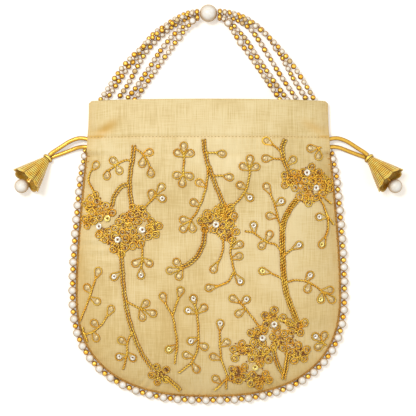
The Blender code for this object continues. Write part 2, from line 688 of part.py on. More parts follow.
CENTRE_VINE = {
    "stems": [
        (DOUBLE_STEM_WIDTH, [(-3.4, 27.5), (-2.4, 36), (0.2, 48)]),
        (STEM_WIDTH, [(-0.4, 46), (-1.2, 58), (-4, 68.6), (-8.4, 78.2), (-12.8, 84.4)]),
        (DOUBLE_STEM_WIDTH, [(0.2, 46), (4.4, 58), (8.4, 67.6), (12, 77)]),
        (STEM_WIDTH, [(-2.4, 36.6), (6.6, 37)]),
        (STEM_WIDTH, [(2.6, 52.6), (11, 53)]),
        (STEM_WIDTH, [(28.5, 45.6), (28.4, 52), (26, 62.4), (20, 70.6), (13.4, 76.4)]),
        (DOUBLE_STEM_WIDTH, [(-2.2, 89), (-4, 101), (-10, 111), (-20, 117.4)]),
        (STEM_WIDTH, [(10.5, 96), (9.6, 106), (6, 114)]),
        (STEM_WIDTH, [(16.6, 96), (15.3, 106), (18.4, 121.4)]),
        (STEM_WIDTH, [(17.6, 119.6), (13, 126.6), (4.4, 130)]),
    ],
    "leaves": [
        (-6.4, 57.6, -1.4, 60.6), (-10.2, 71.4, -5.6, 73.6), (-17.4, 83.4, -11.8, 83.6),
        (-17.4, 89.6, -12.2, 84), (-11, 89.4, -12.4, 83.6), (9.6, 37.6, 5.4, 37), (14.6, 53.8, 10, 53),
        (28.8, 41.2, 28.5, 46.8), (24, 46.4, 28.4, 49), (33, 46.6, 28.4, 49), (22, 59.4, 26.6, 61.6),
        (28.8, 68, 24.6, 64.6), (-22, 112.8, -18.6, 117), (-26.6, 118.6, -19, 117.2),
        (-20.4, 122.6, -18, 116.6), (3.6, 117.6, 6.4, 112.6), (21.6, 100.4, 16, 103.4),
        (21.2, 108.6, 15.6, 110.6), (22, 126, 18, 120.4), (0.4, 130.6, 6, 129.4),
    ],
    "blossoms": [(-1.6, 84.5), (4.6, 79.6), (5, 87), (12.4, 80), (13, 87.6), (11.6, 94), (17, 92)],
    "rings": [(16, 75.5), (-0.6, 79.4), (-5.4, 85.6), (-3, 90.6), (5, 93), (17.6, 82), (16, 98)],
}

LOWER_LEFT_SPRIG = {
    "stems": [
        (STEM_WIDTH, [(-25, 148.6), (-23, 160), (-21.8, 170), (-23.6, 183.4)]),
        (STEM_WIDTH, [(-25, 150), (-30.4, 140.6)]),
        (STEM_WIDTH, [(-25, 150), (-20.6, 136.6)]),
    ],
    "leaves": [(-31.6, 136.6, -29.8, 141.6), (-19.4, 132.6, -20.8, 137.6), (-27.4, 173.4, -21.8, 170.4)],
}

LOWER_MIDDLE_SPRIG = {
    "stems": [
        (STEM_WIDTH, [(-9.4, 141.6), (-7.9, 150), (-7, 162), (-7.7, 173), (-12, 182.6), (-20.8, 190)]),
    ],
    "leaves": [
        (-10.4, 138, -9.2, 142.6), (-14, 146.4, -8.6, 148.4), (-3.2, 144.4, -8.2, 148.4),
        (-12.2, 167.6, -7.2, 165.4), (-2.8, 171.6, -7.4, 169.4), (-15.4, 177.4, -9.8, 179),
        (-8.4, 187.4, -11.6, 182.4),
    ],
}

BOTTOM_SPRIG = {
    "stems": [
        (STEM_WIDTH, [(8, 159.4), (7.9, 170), (9.2, 181), (12.6, 191), (12.2, 201.6)]),
        (STEM_WIDTH, [(12.8, 194), (4.4, 202.6)]),
    ],
    "leaves": [
        (8.2, 155.4, 8, 160.6), (12.6, 168.6, 8, 171.4), (3.4, 178.6, 8.8, 180.6), (5, 194.4, 9, 198),
    ],
}

RIGHT_VINE = {
    "stems": [
        (STEM_WIDTH, [(43.8, 30.4), (47.4, 33.4), (51, 37.6)]),
        (DOUBLE_STEM_WIDTH, [(53.2, 27.4), (51.2, 33), (52.2, 41.6), (56.4, 51)]),
        (STEM_WIDTH, [(44, 40.6), (52.4, 41.6)]),
        (TRUNK_WIDTH, [(62, 68.6), (55.6, 77.4), (51.6, 88), (51.4, 104), (52.2, 122), (54.4, 135.6),
                       (61.4, 154)]),
        (STEM_WIDTH, [(42.8, 64.8), (46, 73), (48.2, 82), (51, 91)]),
        (STEM_WIDTH, [(25.4, 91.4), (31, 92.4), (40, 98.6), (46.4, 100.6), (51, 106)]),
        (STEM_WIDTH, [(58.6, 103.4), (51.6, 108.6)]),
        (STEM_WIDTH, [(42.4, 119.8), (52.4, 125)]),
        (STEM_WIDTH, [(52.6, 127), (62, 125.4), (71, 127.6), (81.6, 135.4)]),
        (STEM_WIDTH, [(76.4, 67), (80.4, 74), (83.4, 84), (83, 91), (81, 96.6)]),
        (STEM_WIDTH, [(82.2, 79.6), (87.4, 87)]),
        (STEM_WIDTH, [(80, 67), (85.8, 72.6)]),
        (STEM_WIDTH, [(21, 139.6), (27, 146.6), (38, 161)]),
        (STEM_WIDTH, [(48, 152), (59, 156.6)]),
        (STEM_WIDTH, [(37, 178), (43, 173.6)]),
        (DOUBLE_STEM_WIDTH, [(45, 173), (48, 184), (52.4, 191)]),
        (DOUBLE_STEM_WIDTH, [(55.4, 176), (54, 186), (52.2, 195)]),
    ],
    "leaves": [
        (40.2, 28.6, 44.8, 31.4), (39.8, 40.8, 45, 40.6), (58.8, 41.6, 54.2, 45.6),
        (40.4, 60.4, 43.4, 66), (50.6, 70.6, 46, 73.6), (42.6, 80.6, 47.8, 81.6), (31.4, 87.2, 32, 93),
        (42.4, 93.6, 40, 98.8), (37, 101.4, 40.2, 98), (63, 101, 57.8, 104), (37.6, 119, 43.2, 120.2),
        (70.8, 122, 67.4, 126.8), (69, 131.6, 70.4, 127), (84.8, 132.6, 78.6, 132.8),
        (78.4, 139, 79.2, 134), (86.2, 139.4, 80.8, 134.6), (77.4, 81.4, 82.8, 81.6),
        (79.2, 100.6, 81.6, 95.4), (17, 138, 22, 141), (26.4, 138.6, 22.6, 142), (21, 148.4, 25.6, 145.4),
    ],
    "blossoms": [
        (54, 53), (58, 57.6), (61.6, 51.6), (66.6, 53), (72, 49.6), (78, 53.4), (81, 59), (64, 60),
        (71, 57.4), (76, 61), (69.6, 64.6), (64, 66.4), (71.4, 69), (77.4, 66),
        (45, 152), (61.6, 157), (49.6, 168), (62.4, 176), (36, 178.4), (36, 196), (31, 163), (22.6, 173),
        (20.4, 187.6), (38, 166.4), (41, 159.6), (29.6, 171), (25.6, 180), (28.6, 189), (43.6, 173),
    ],
    "rings": [
        (54.6, 59.8), (83.8, 62.6), (71.8, 44.6), (70, 73.6), (46, 146.6), (39.4, 150.6), (50.8, 151),
        (46, 158), (55.8, 155.6), (66.8, 155), (64.2, 162.2), (57.6, 161.6), (44.6, 163.6), (52.4, 162.8),
        (56, 167.4), (52.4, 173.6), (62.4, 170.2), (68.4, 174.4), (66.8, 180.4), (59.6, 181.4),
        (57, 175.4), (32.4, 184), (41.2, 181.4), (38.4, 190.6), (41.8, 197), (36.8, 201.6), (30.6, 194),
        (25, 167.4), (30, 157.4),
    ],
}

RIGHT_UPPER_SPRIG = {
    "stems": [
        (STEM_WIDTH, [(75.4, 33.2), (78.6, 32.9)]),
        (STEM_WIDTH, [(77, 32.6), (77.2, 35.4)]),
    ],
    "leaves": [(71.2, 33.6, 76.4, 33.2), (76.8, 39, 77.2, 34.6)],
}

RIGHT_LOWER_SPRIG = {
    "stems": [(STEM_WIDTH, [(78.6, 168), (82.6, 171.4)])],
    "leaves": [(74.8, 165, 79.6, 168.8), (81.2, 164.4, 79.6, 169.2), (76.8, 172.4, 81.4, 170.4)],
}

EMBROIDERY = {
    "embroidery_left_vine": LEFT_VINE,
    "embroidery_left_edge_sprig": LEFT_EDGE_SPRIG,
    "embroidery_left_lower_sprig": LEFT_LOWER_SPRIG,
    "embroidery_left_bud": LEFT_BUD,
    "embroidery_centre_vine": CENTRE_VINE,
    "embroidery_lower_left_sprig": LOWER_LEFT_SPRIG,
    "embroidery_lower_middle_sprig": LOWER_MIDDLE_SPRIG,
    "embroidery_bottom_sprig": BOTTOM_SPRIG,
    "embroidery_right_vine": RIGHT_VINE,
    "embroidery_right_upper_sprig": RIGHT_UPPER_SPRIG,
    "embroidery_right_lower_sprig": RIGHT_LOWER_SPRIG,
}


def on_panel(x, depth):
    """Place on the panel of a point of the drawing."""
    return Vector((x * BELLY_HALF_WIDTH / SHEET_HALF_WIDTH, depth * BAG_DEPTH / SHEET_DEPTH))


def stem_outline(width, drawn):
    """Outline of a stem, anticlockwise: along one side of its line and back along the other."""
    line = [on_panel(*point) for point in drawn]
    left, right = [], []
    for index, here in enumerate(line):
        along = (line[min(index + 1, len(line) - 1)] - line[max(index - 1, 0)]).normalized()
        side = Vector((-along.y, along.x)) * width / 2
        left.append(here + side)
        right.append(here - side)
    return right + left[::-1]


def leaf_outline(x, depth, base_x, base_depth):
    """Outline of a leaf: round at its tip, and drawn in to the stem at its base."""
    centre = on_panel(x, depth)
    base = on_panel(base_x, base_depth)
    back = math.atan2(base.y - centre.y, base.x - centre.x)
    outline = [base]
    for step in range(6):
        angle = back + math.radians(60 + 48 * step)
        outline.append(centre + Vector((math.cos(angle), math.sin(angle))) * LEAF_RADIUS)
    return outline


def round_outline(x, depth, radius, sides):
    """Outline of a blossom or a ring."""
    centre = on_panel(x, depth)
    turns = [2 * math.pi * (step + 0.25) / sides for step in range(sides)]
    return [centre + Vector((math.cos(turn), math.sin(turn))) * radius for turn in turns]


def lies_inside(point, outline):
    """Whether a point lies inside an outline."""
    inside = False
    for a, b in zip(outline, outline[1:] + outline[:1]):
        if (a.y > point.y) != (b.y > point.y):
            if point.x < a.x + (b.x - a.x) * (point.y - a.y) / (b.y - a.y):
                inside = not inside
    return inside


def joined_region(outlines, middles):
    """Points and triangles of the flat region that outlines cover together."""
    drawn, loops = [], []
    for outline in outlines:
        loops.append(list(range(len(drawn), len(drawn) + len(outline))))
        drawn += [point / MM for point in outline]
    points, _, faces, _, _, sources = geometry.delaunay_2d_cdt(
        drawn, [], loops, TRIANGLES, JOIN_REACH)
    sides = {}
    for face, inside in zip(faces, sources):
        if inside:
            for pair in zip(face, face[1:] + face[:1]):
                side = tuple(sorted(pair))
                sides[side] = sides.get(side, 0) + 1
    rim = [side for side, count in sides.items() if count == 1]
    kept = sorted({index for side in rim for index in side})
    number = {index: place_in_rim for place_in_rim, index in enumerate(kept)}
    rim_points = [points[index] for index in kept]
    rim_points += [middle / MM for middle in middles]
    rim_sides = [(number[a], number[b]) for a, b in rim]
    points, _, faces, _, _, _ = geometry.delaunay_2d_cdt(
        rim_points, rim_sides, [], TRIANGLES, JOIN_REACH / 10)
    points = [point * MM for point in points]
    covered = []
    for face in faces:
        middle = sum((points[index] for index in face), Vector((0, 0))) / len(face)
        if any(lies_inside(middle, outline) for outline in outlines):
            covered.append(face)
    return points, covered


def add_embroidery(name, drawing, zari):
    """One group of embroidery, as one raised body that follows the front panel."""
    blossoms = drawing.get("blossoms", [])
    outlines = [stem_outline(width, points) for width, points in drawing["stems"]]
    outlines += [leaf_outline(*leaf) for leaf in drawing["leaves"]]
    outlines += [round_outline(x, depth, BLOSSOM_RADIUS, BLOSSOM_SIDES) for x, depth in blossoms]
    outlines += [round_outline(*ring, RING_RADIUS, RING_SIDES) for ring in drawing.get("rings", [])]
    points, faces = joined_region(outlines, [on_panel(*blossom) for blossom in blossoms])
    bm = bmesh.new()
    verts = [bm.verts.new((point.x, point.y, 0)) for point in points]
    for face in faces:
        bm.faces.new([verts[index] for index in face])
    bmesh.ops.delete(bm, geom=[v for v in bm.verts if not v.link_faces], context="VERTS")
    upper = list(bm.verts)
    made = bmesh.ops.extrude_face_region(bm, geom=list(bm.faces), use_keep_orig=True)
    lower = [v for v in made["geom"] if isinstance(v, bmesh.types.BMVert)]
    for group, rise in ((upper, ZARI_CLEARANCE + ZARI_THICKNESS), (lower, ZARI_CLEARANCE)):
        for vert in group:
            across, depth = vert.co.x, vert.co.y
            vert.co = place(across, depth, front_top(across, depth) + rise)
    add_mesh(name, bm, zari, smooth=False)


def main():
    """Build the bag, piece by piece."""
    clear_scene()
    silk = material("cream_silk", (0.80, 0.64, 0.36), 0.45)
    satin = material("lining_satin", (0.78, 0.66, 0.44), 0.4)
    satin_cord = material("gold_satin_cord", (0.78, 0.42, 0.06), 0.3)
    gold = material("antique_gold", (0.60, 0.36, 0.12), 0.35, 1.0)
    dark_gold = material("dark_gold", (0.40, 0.20, 0.05), 0.4, 1.0)
    pearl = material("pearl", (0.90, 0.87, 0.82), 0.2)
    bead_mix = material("pearl_and_gold_beads", (0.86, 0.74, 0.55), 0.25)
    thread = material("thread", (0.80, 0.76, 0.66), 0.7)
    zari = material("zari", (0.52, 0.28, 0.05), 0.4, 0.8)
    add_panels(silk)
    add_lining(satin)
    for side, word in ((-1, "left"), (1, "right")):
        add_drawstring(side, satin_cord)
        add_free_leg(f"cord_{word}_upper", UPPER_LEG_ROUTE, side, satin_cord)
        add_free_leg(f"cord_{word}_lower", LOWER_LEG_ROUTE, side, satin_cord)
        add_bell(side, gold, pearl, dark_gold)
    add_edging(bead_mix)
    add_handle(pearl, bead_mix, thread)
    for name, drawing in EMBROIDERY.items():
        add_embroidery(name, drawing, zari)


main()
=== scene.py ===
"""Looks of the potli bag: silk, zari vines, bead edge, bead handle, drawstrings and bell tassels.

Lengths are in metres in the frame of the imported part, except in the drawings, which are in
millimetres: across from the middle of the bag and down from its mouth.
"""
import json
import logging
import math
import random
from dataclasses import dataclass, field
from enum import Enum
from typing import Callable, Iterable, Sequence

import bmesh
import bpy
from mathutils import Matrix, Vector, noise

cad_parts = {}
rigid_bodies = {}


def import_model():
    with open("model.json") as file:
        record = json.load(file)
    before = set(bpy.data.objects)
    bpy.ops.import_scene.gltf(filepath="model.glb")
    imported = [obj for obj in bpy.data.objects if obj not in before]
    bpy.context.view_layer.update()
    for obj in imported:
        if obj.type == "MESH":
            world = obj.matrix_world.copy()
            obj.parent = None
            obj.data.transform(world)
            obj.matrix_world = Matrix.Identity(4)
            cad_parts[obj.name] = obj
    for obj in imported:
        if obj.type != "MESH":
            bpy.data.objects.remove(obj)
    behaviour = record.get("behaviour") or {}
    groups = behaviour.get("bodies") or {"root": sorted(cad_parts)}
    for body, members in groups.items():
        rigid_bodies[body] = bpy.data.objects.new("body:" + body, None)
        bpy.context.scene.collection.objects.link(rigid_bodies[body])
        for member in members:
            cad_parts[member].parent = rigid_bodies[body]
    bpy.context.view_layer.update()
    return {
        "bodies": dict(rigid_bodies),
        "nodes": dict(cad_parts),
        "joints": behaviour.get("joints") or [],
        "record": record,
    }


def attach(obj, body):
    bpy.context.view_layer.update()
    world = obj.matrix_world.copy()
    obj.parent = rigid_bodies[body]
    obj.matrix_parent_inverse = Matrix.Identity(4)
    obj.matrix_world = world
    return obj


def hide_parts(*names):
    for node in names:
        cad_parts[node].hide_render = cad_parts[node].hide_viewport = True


LOG = logging.getLogger("potli")
MM = 0.001
IMAGE_PIXELS = 416
METRES_PER_PIXEL = 0.0007
PLY_PRESS = 1.06
Colour = tuple[float, float, float, float]
Place = tuple[float, float]
Spot = tuple[float, float, float]
Leaf = tuple[float, float, float, float]
Crease = tuple[Place, Place, float, float]


def tone(red: float, green: float, blue: float) -> Colour:
    """Turn a display colour into the linear colour that a shader takes.

    Args:
        red: Red, from 0 to 255.
        green: Green, from 0 to 255.
        blue: Blue, from 0 to 255.

    Returns:
        The linear colour, opaque.
    """
    linear = []
    for part in (red, green, blue):
        share = part / 255
        linear.append(share / 12.92 if share <= 0.04045 else ((share + 0.055) / 1.055) ** 2.4)
    return (linear[0], linear[1], linear[2], 1.0)


def smoothstep(low: float, high: float, value: float) -> float:
    """Ease from 0 at the low value to 1 at the high one."""
    share = min(max((value - low) / (high - low), 0.0), 1.0)
    return share * share * (3 - 2 * share)


def hump(value: float, centre: float, width: float) -> float:
    """A smooth hump of height 1, which falls to about a third one width from its centre."""
    return math.exp(-((value - centre) / width) ** 2)


def ray(angle: float) -> Vector:
    """Flat direction of length 1 at an angle."""
    return Vector((math.cos(angle), math.sin(angle)))


def length_of(points: Sequence[Vector]) -> float:
    """Length of the line through some points."""
    return sum((b - a).length for a, b in zip(points, points[1:]))


# Shader maths and finishes


class Value:
    """A number socket of a material, on which Python's operators add Math nodes."""

    def __init__(self, paint: "Paint", socket: bpy.types.NodeSocket) -> None:
        """Keep the socket and the material that it belongs to."""
        self.paint = paint
        self.socket = socket

    def math(self, operation: str, *others: "Value | float") -> "Value":
        """Add a Math node on this value and others, and return its result."""
        made = self.paint.node("ShaderNodeMath", {"operation": operation}, dict(enumerate((self, *others))))
        return Value(self.paint, made.outputs[0])

    def __add__(self, other: "Value | float") -> "Value":
        """Sum."""
        return self.math("ADD", other)

    def __mul__(self, other: "Value | float") -> "Value":
        """Product."""
        return self.math("MULTIPLY", other)

    __radd__ = __add__
    __rmul__ = __mul__

    def sine(self) -> "Value":
        """Sine of the value."""
        return self.math("SINE")

    def band(self, low: float, high: float) -> "Value":
        """Rise smoothly from 0 at the low value to 1 at the high one."""
        made = self.paint.node(
            "ShaderNodeMapRange", {"interpolation_type": "SMOOTHSTEP"},
            {"Value": self, "From Min": low, "From Max": high})
        return Value(self.paint, made.outputs[0])


class Paint:
    """A material under construction."""

    def __init__(self, name: str) -> None:
        """Start a material with a Principled shader.

        Args:
            name: Name of the material.
        """
        self.material = bpy.data.materials.new(name)
        self.material.use_nodes = True
        self.tree = self.material.node_tree
        self.shader = self.tree.nodes["Principled BSDF"]
        self.where = self.node("ShaderNodeTexCoord").outputs["Object"]

    def node(self, kind: str, settings: dict | None = None, sockets: dict | None = None,
             stops: Sequence[tuple[float, Colour]] = ()) -> bpy.types.Node:
        """Add a node.

        Args:
            kind: Type name of the node.
            settings: Properties of the node, set before its sockets.
            sockets: Values or links of its inputs, by name or number.
            stops: Stops of a colour ramp.

        Returns:
            The node.
        """
        made = self.tree.nodes.new(kind)
        for key, value in (settings or {}).items():
            setattr(made, key, value)
        for index, (position, colour) in enumerate(stops):
            ramp = made.color_ramp.elements
            stop = ramp[index] if index < 2 else ramp.new(position)
            stop.position = position
            stop.color = colour
        for key, value in (sockets or {}).items():
            self.link(value, made.inputs[key])
        return made

    def link(self, value: object, target: bpy.types.NodeSocket) -> None:
        """Give an input a value or a link.

        Args:
            value: A number, a colour, a Value or an output socket.
            target: The input.
        """
        source = value.socket if isinstance(value, Value) else value
        if isinstance(source, bpy.types.NodeSocket):
            self.tree.links.new(source, target)
        else:
            target.default_value = source

    def stretched(self, scale: Spot, turn: float = 0.0) -> bpy.types.NodeSocket:
        """Object coordinates, scaled along each axis and turned about Z."""
        made = self.node("ShaderNodeMapping", None,
                         {"Vector": self.where, "Rotation": (0, 0, turn), "Scale": scale})
        return made.outputs[0]

    def noise(self, where: bpy.types.NodeSocket, scale: float, detail: float = 2.0) -> Value:
        """Noise around one half, by its clouds per metre and its octaves of detail."""
        made = self.node("ShaderNodeTexNoise", None, {"Vector": where, "Scale": scale, "Detail": detail})
        return Value(self, made.outputs["Fac"])

    def axis(self, name: str) -> Value:
        """The X, Y or Z object coordinate, in metres."""
        made = self.node("ShaderNodeSeparateXYZ", None, {0: self.where})
        return Value(self, made.outputs[name])

    def attribute(self, name: str) -> Value:
        """A number that the mesh carries, by the attribute's name."""
        made = self.node("ShaderNodeAttribute", {"attribute_name": name})
        return Value(self, made.outputs["Fac"])

    def mix(self, share: "Value | float", low: object, high: object) -> bpy.types.NodeSocket:
        """Mix two colours, the first at a share of 0 and the second at 1."""
        made = self.node("ShaderNodeMix", {"data_type": "RGBA"}, {0: share, 6: low, 7: high})
        return made.outputs[2]

    def bump(self, height: Value, depth: float, strength: float = 1.0) -> None:
        """Let a height from 0 to 1 stand out of the surface, by a depth in metres."""
        made = self.node("ShaderNodeBump", None,
                         {"Height": height, "Distance": depth, "Strength": strength})
        self.link(made.outputs[0], self.shader.inputs["Normal"])

    def finish(self, **sockets: object) -> bpy.types.Material:
        """Set the shader's inputs, with underscores for spaces in their names.

        Args:
            sockets: Values or links of the inputs.

        Returns:
            The material.
        """
        for key, value in sockets.items():
            self.link(value, self.shader.inputs[key.replace("_", " ")])
        return self.material


@dataclass(frozen=True)
class Grain:
    """Noise of a finish, which may be stretched along the axes and turned about Z."""

    scale: float = 1.0
    detail: float = 2.0
    stretch: Spot | None = None
    turn: float = 0.0

    def on(self, paint: Paint) -> Value:
        """Add the noise to a material."""
        where = paint.stretched(self.stretch, self.turn) if self.stretch else paint.where
        return paint.noise(where, self.scale, self.detail)


@dataclass(frozen=True)
class Silk:
    """Slubby dupion silk, warmer where the mesh is marked as shaded."""

    name: str = "dupion_silk"
    light: Colour = tone(240, 220, 168)
    middle: Colour = tone(230, 206, 147)
    dark: Colour = tone(212, 184, 120)
    # fold: painted shade tone of creases, sewn lines, edges and the lower part
    fold: Colour = tone(222, 178, 92)
    weft: Grain = Grain(1.0, 3.0, (90, 2300, 400))
    warp: Grain = Grain(1.0, 3.0, (2000, 70, 400))
    warp_share: float = 0.6
    cloud: Grain = Grain(26.0, 3.0)
    cloud_share: float = 0.45
    thread_pitch: float = 0.0014
    thread_drift: float = 9.0
    thread_share: float = 0.012
    span: Place = (0.37, 0.63)
    relief: Place = (0.00028, 0.6)
    least_rough: float = 0.34
    rough_gain: float = 0.25

    def material(self) -> bpy.types.Material:
        """Make the finish.

        Returns:
            The material.
        """
        paint = Paint(self.name)
        slub = self.weft.on(paint) * (1 - self.warp_share) + self.warp.on(paint) * self.warp_share
        cloud = self.cloud.on(paint)
        threads = (paint.axis("X") * (math.tau / self.thread_pitch) + cloud * self.thread_drift).sine()
        tint = slub * (1 - self.cloud_share) + cloud * self.cloud_share + threads * self.thread_share
        ramp = paint.node("ShaderNodeValToRGB", None, {0: tint.band(*self.span)},
                          ((0.0, self.dark), (1.0, self.light), (0.5, self.middle)))
        # painted shade: the fold tone where the mesh's shade mark is high
        shaded = paint.mix(paint.attribute("shade"), ramp.outputs[0], self.fold)
        paint.bump(slub, *self.relief)
        return paint.finish(Base_Color=shaded, Roughness=slub * self.rough_gain + self.least_rough,
                            Sheen_Weight=0.2, Sheen_Roughness=0.4, Specular_IOR_Level=0.4)


@dataclass(frozen=True)
class Surface:
    """A finish of two tones, with a dark one where the mesh is marked as recessed: painted shade on most
    pieces, random tarnish on the embroidery's specks.

    The grain gives the relief and the roughness, and also the tones where there are no clouds.
    """

    name: str
    low: Colour
    high: Colour
    dark: Colour | None = None
    span: Place = (0.3, 0.7)
    grain: Grain = Grain()
    clouds: tuple[Grain, ...] = ()
    relief: Place = (0.00005, 0.5)
    least_rough: float = 0.2
    rough_gain: float = 0.0
    metal: float = 0.0
    coat: float = 0.0
    sheen: float = 0.0
    specular: float = 0.5

    def material(self) -> bpy.types.Material:
        """Make the finish.

        Returns:
            The material.
        """
        paint = Paint(self.name)
        grain = self.grain.on(paint)
        tint = grain
        if self.clouds:
            tint = sum(cloud.on(paint) for cloud in self.clouds) * (1 / len(self.clouds))
        colour = paint.mix(tint.band(*self.span), self.low, self.high)
        if self.dark:
            # painted shade: the dark tone where the mesh's recess mark is high
            colour = paint.mix(paint.attribute("recess"), colour, self.dark)
        paint.bump(grain, *self.relief)
        rough = grain * self.rough_gain + self.least_rough if self.rough_gain else self.least_rough
        return paint.finish(Base_Color=colour, Roughness=rough, Metallic=self.metal, Coat_Weight=self.coat,
                            Sheen_Weight=self.sheen, Specular_IOR_Level=self.specular)


@dataclass(frozen=True)
class LiningSatin(Surface):
    """Plain satin of the lining."""

    name: str = "lining_satin"
    low: Colour = tone(176, 148, 98)
    high: Colour = tone(226, 206, 160)
    grain: Grain = Grain(1.0, 2.0, (120, 1900, 400))
    relief: Place = (0.0002, 0.5)
    least_rough: float = 0.38
    sheen: float = 0.2


@dataclass(frozen=True)
class Zari(Surface):
    """Gilt thread, with painted shade on its sides and low plies, and tarnish at random on specks."""

    name: str = "zari_gilt_thread"
    low: Colour = tone(240, 170, 12)
    high: Colour = tone(255, 218, 80)
    # painted shade tone of the thread's sides and low plies
    dark: Colour | None = tone(132, 70, 0)
    span: Place = (0.38, 0.62)
    grain: Grain = Grain(900.0)
    clouds: tuple[Grain, ...] = (Grain(120.0), Grain(900.0))
    relief: Place = (0.00012, 0.6)
    rough_gain: float = 0.3
    metal: float = 0.25


@dataclass(frozen=True)
class Pearl(Surface):
    """Nacre of an imitation pearl, with brown painted shade towards its underside."""

    name: str = "pearl_nacre"
    low: Colour = tone(255, 253, 248)
    high: Colour = tone(248, 242, 228)
    # painted shade tone of the pearl's underside and rim
    dark: Colour | None = tone(200, 156, 84)
    span: Place = (0.3, 0.75)
    grain: Grain = Grain(260.0, 1.0)
    relief: Place = (0.00005, 0.4)
    least_rough: float = 0.16
    rough_gain: float = 0.12
    specular: float = 0.35


@dataclass(frozen=True)
class GiltMetal(Surface):
    """Gilt metal of beads, rings and bells, with painted shade in its recesses and on its underside."""

    name: str = "gilt_metal"
    low: Colour = tone(250, 184, 48)
    high: Colour = tone(255, 220, 104)
    # painted shade tone of undersides, rims and grooves
    dark: Colour | None = tone(138, 74, 0)
    span: Place = (0.35, 0.7)
    grain: Grain = Grain(1.0, 2.0, (600, 2400, 900), 0.6)
    clouds: tuple[Grain, ...] = (Grain(300.0),)
    relief: Place = (0.00004, 0.5)
    least_rough: float = 0.14
    rough_gain: float = 0.2
    metal: float = 0.5


@dataclass(frozen=True)
class Glint(Surface):
    """Shiny hearts of leaves and cup sequins."""

    span: Place = (0.35, 0.65)
    grain: Grain = Grain(700.0, 1.0)
    relief: Place = (0.0002, 0.5)
    least_rough: float = 0.16
    rough_gain: float = 0.15
    metal: float = 0.2
    coat: float = 0.5


@dataclass(frozen=True)
class SatinCord(Surface):
    """Satin rat-tail cord, with painted shade on its underside."""

    name: str = "satin_cord"
    low: Colour = tone(222, 168, 46)
    high: Colour = tone(242, 196, 78)
    # painted shade tone of the cord's underside and edges
    dark: Colour | None = tone(138, 86, 10)
    grain: Grain = Grain(1.0, 2.0, (500, 3200, 3200), 0.55)
    relief: Place = (0.00004, 0.5)
    least_rough: float = 0.22
    rough_gain: float = 0.16
    metal: float = 0.4


@dataclass(frozen=True)
class SewingThread(Surface):
    """Sewing thread."""

    grain: Grain = Grain(2600.0)
    relief: Place = (0.00005, 0.6)
    least_rough: float = 0.6
    sheen: float = 0.2


class Finish(Enum):
    """The finishes that the bag's pieces are dressed in."""

    SILK = Silk()
    LINING = LiningSatin()
    ZARI = Zari()
    # the piping's dark tone is painted shade on its underside
    PIPING = Zari("zari_piping_cord", tone(190, 134, 46), tone(226, 174, 78), tone(112, 64, 10),
                  least_rough=0.35)
    PEARL = Pearl()
    # the third tone of each pearl is painted shade on its underside and rim
    CHAMPAGNE = Pearl("champagne_pearl", tone(240, 214, 158), tone(226, 190, 124), tone(150, 106, 44))
    STRAND_PEARL = Pearl("strand_pearl", tone(255, 250, 236), tone(248, 236, 210), tone(192, 142, 62))
    GILT = GiltMetal()
    # gilt of the bell and its collar; its dark tone is painted shade in grooves, inside and underneath
    BELL_GILT = GiltMetal("bell_gilt_painted_shade", tone(255, 206, 72), tone(255, 236, 120), tone(128, 70, 0),
                        least_rough=0.16, metal=0.3)
    CORD = SatinCord()
    HEART = Glint("leaf_heart", tone(196, 162, 96), tone(236, 216, 164), least_rough=0.34, coat=0.1)
    WHITE_CUP = Glint("white_cup_sequin", tone(222, 208, 172), tone(255, 252, 240), metal=0.1)
    YELLOW_CUP = Glint("yellow_cup_sequin", tone(238, 206, 90), tone(255, 244, 150))
    STITCH = SewingThread("stitch_thread", tone(124, 84, 30), tone(172, 128, 60))
    # near-black ring painted as the shadow in the gap between collar and bell
    SHADOW_RING = SewingThread("painted_shadow_ring", tone(24, 14, 4), tone(52, 32, 10))
    CORE = SewingThread("bead_thread", tone(196, 180, 150), tone(232, 222, 200))


class Wardrobe:
    """Makes each finish once."""

    def __init__(self) -> None:
        """Start with nothing made."""
        self.made: dict[Finish, bpy.types.Material] = {}

    def get(self, finish: Finish) -> bpy.types.Material:
        """The material of a finish.

        Args:
            finish: The finish.

        Returns:
            Its material, made at its first use.
        """
        if finish not in self.made:
            self.made[finish] = finish.value.material()
        return self.made[finish]


# Lines and pieces


def smooth_line(points: Sequence[Vector], spacing: float, closed: bool = False) -> list[Vector]:
    """Points every so often along a smooth curve through given points.

    Args:
        points: Points that the curve passes through.
        spacing: Distance from one point to the next.
        closed: Whether the curve returns to its start.

    Returns:
        The points; a closed curve's first point isn't repeated at its end.
    """
    if closed:
        ends = [points[-1], *points, points[0], points[1]]
    else:
        ends = [2 * points[0] - points[1], *points, 2 * points[-1] - points[-2]]
    fine = []
    for a, b, c, d in zip(ends, ends[1:], ends[2:], ends[3:]):
        for step in range(12):
            t = step / 12
            fine.append(0.5 * (2 * b + (c - a) * t + (2 * a - 5 * b + 4 * c - d) * t ** 2
                               + (3 * b - a - 3 * c + d) * t ** 3))
    fine.append(points[0] if closed else points[-1])
    reached = [0.0]
    for first, second in zip(fine, fine[1:]):
        reached.append(reached[-1] + (second - first).length)
    count = max(3 if closed else 1, round(reached[-1] / spacing))
    placed, index = [], 1
    for step in range(count if closed else count + 1):
        distance = reached[-1] * step / count
        while index < len(fine) - 1 and reached[index] < distance:
            index += 1
        span = max(reached[index] - reached[index - 1], 1e-9)
        share = min((distance - reached[index - 1]) / span, 1.0)
        placed.append(fine[index - 1].lerp(fine[index], share))
    return placed


@dataclass
class Tube:
    """A round tube along a line, with a radius at each point."""

    points: list[Vector]
    radii: list[float]
    closed: bool = False

    @classmethod
    def even(cls, points: Sequence[Vector], radius: float, closed: bool = False) -> "Tube":
        """A tube that is as thick all along."""
        return cls(list(points), [radius] * len(points), closed)


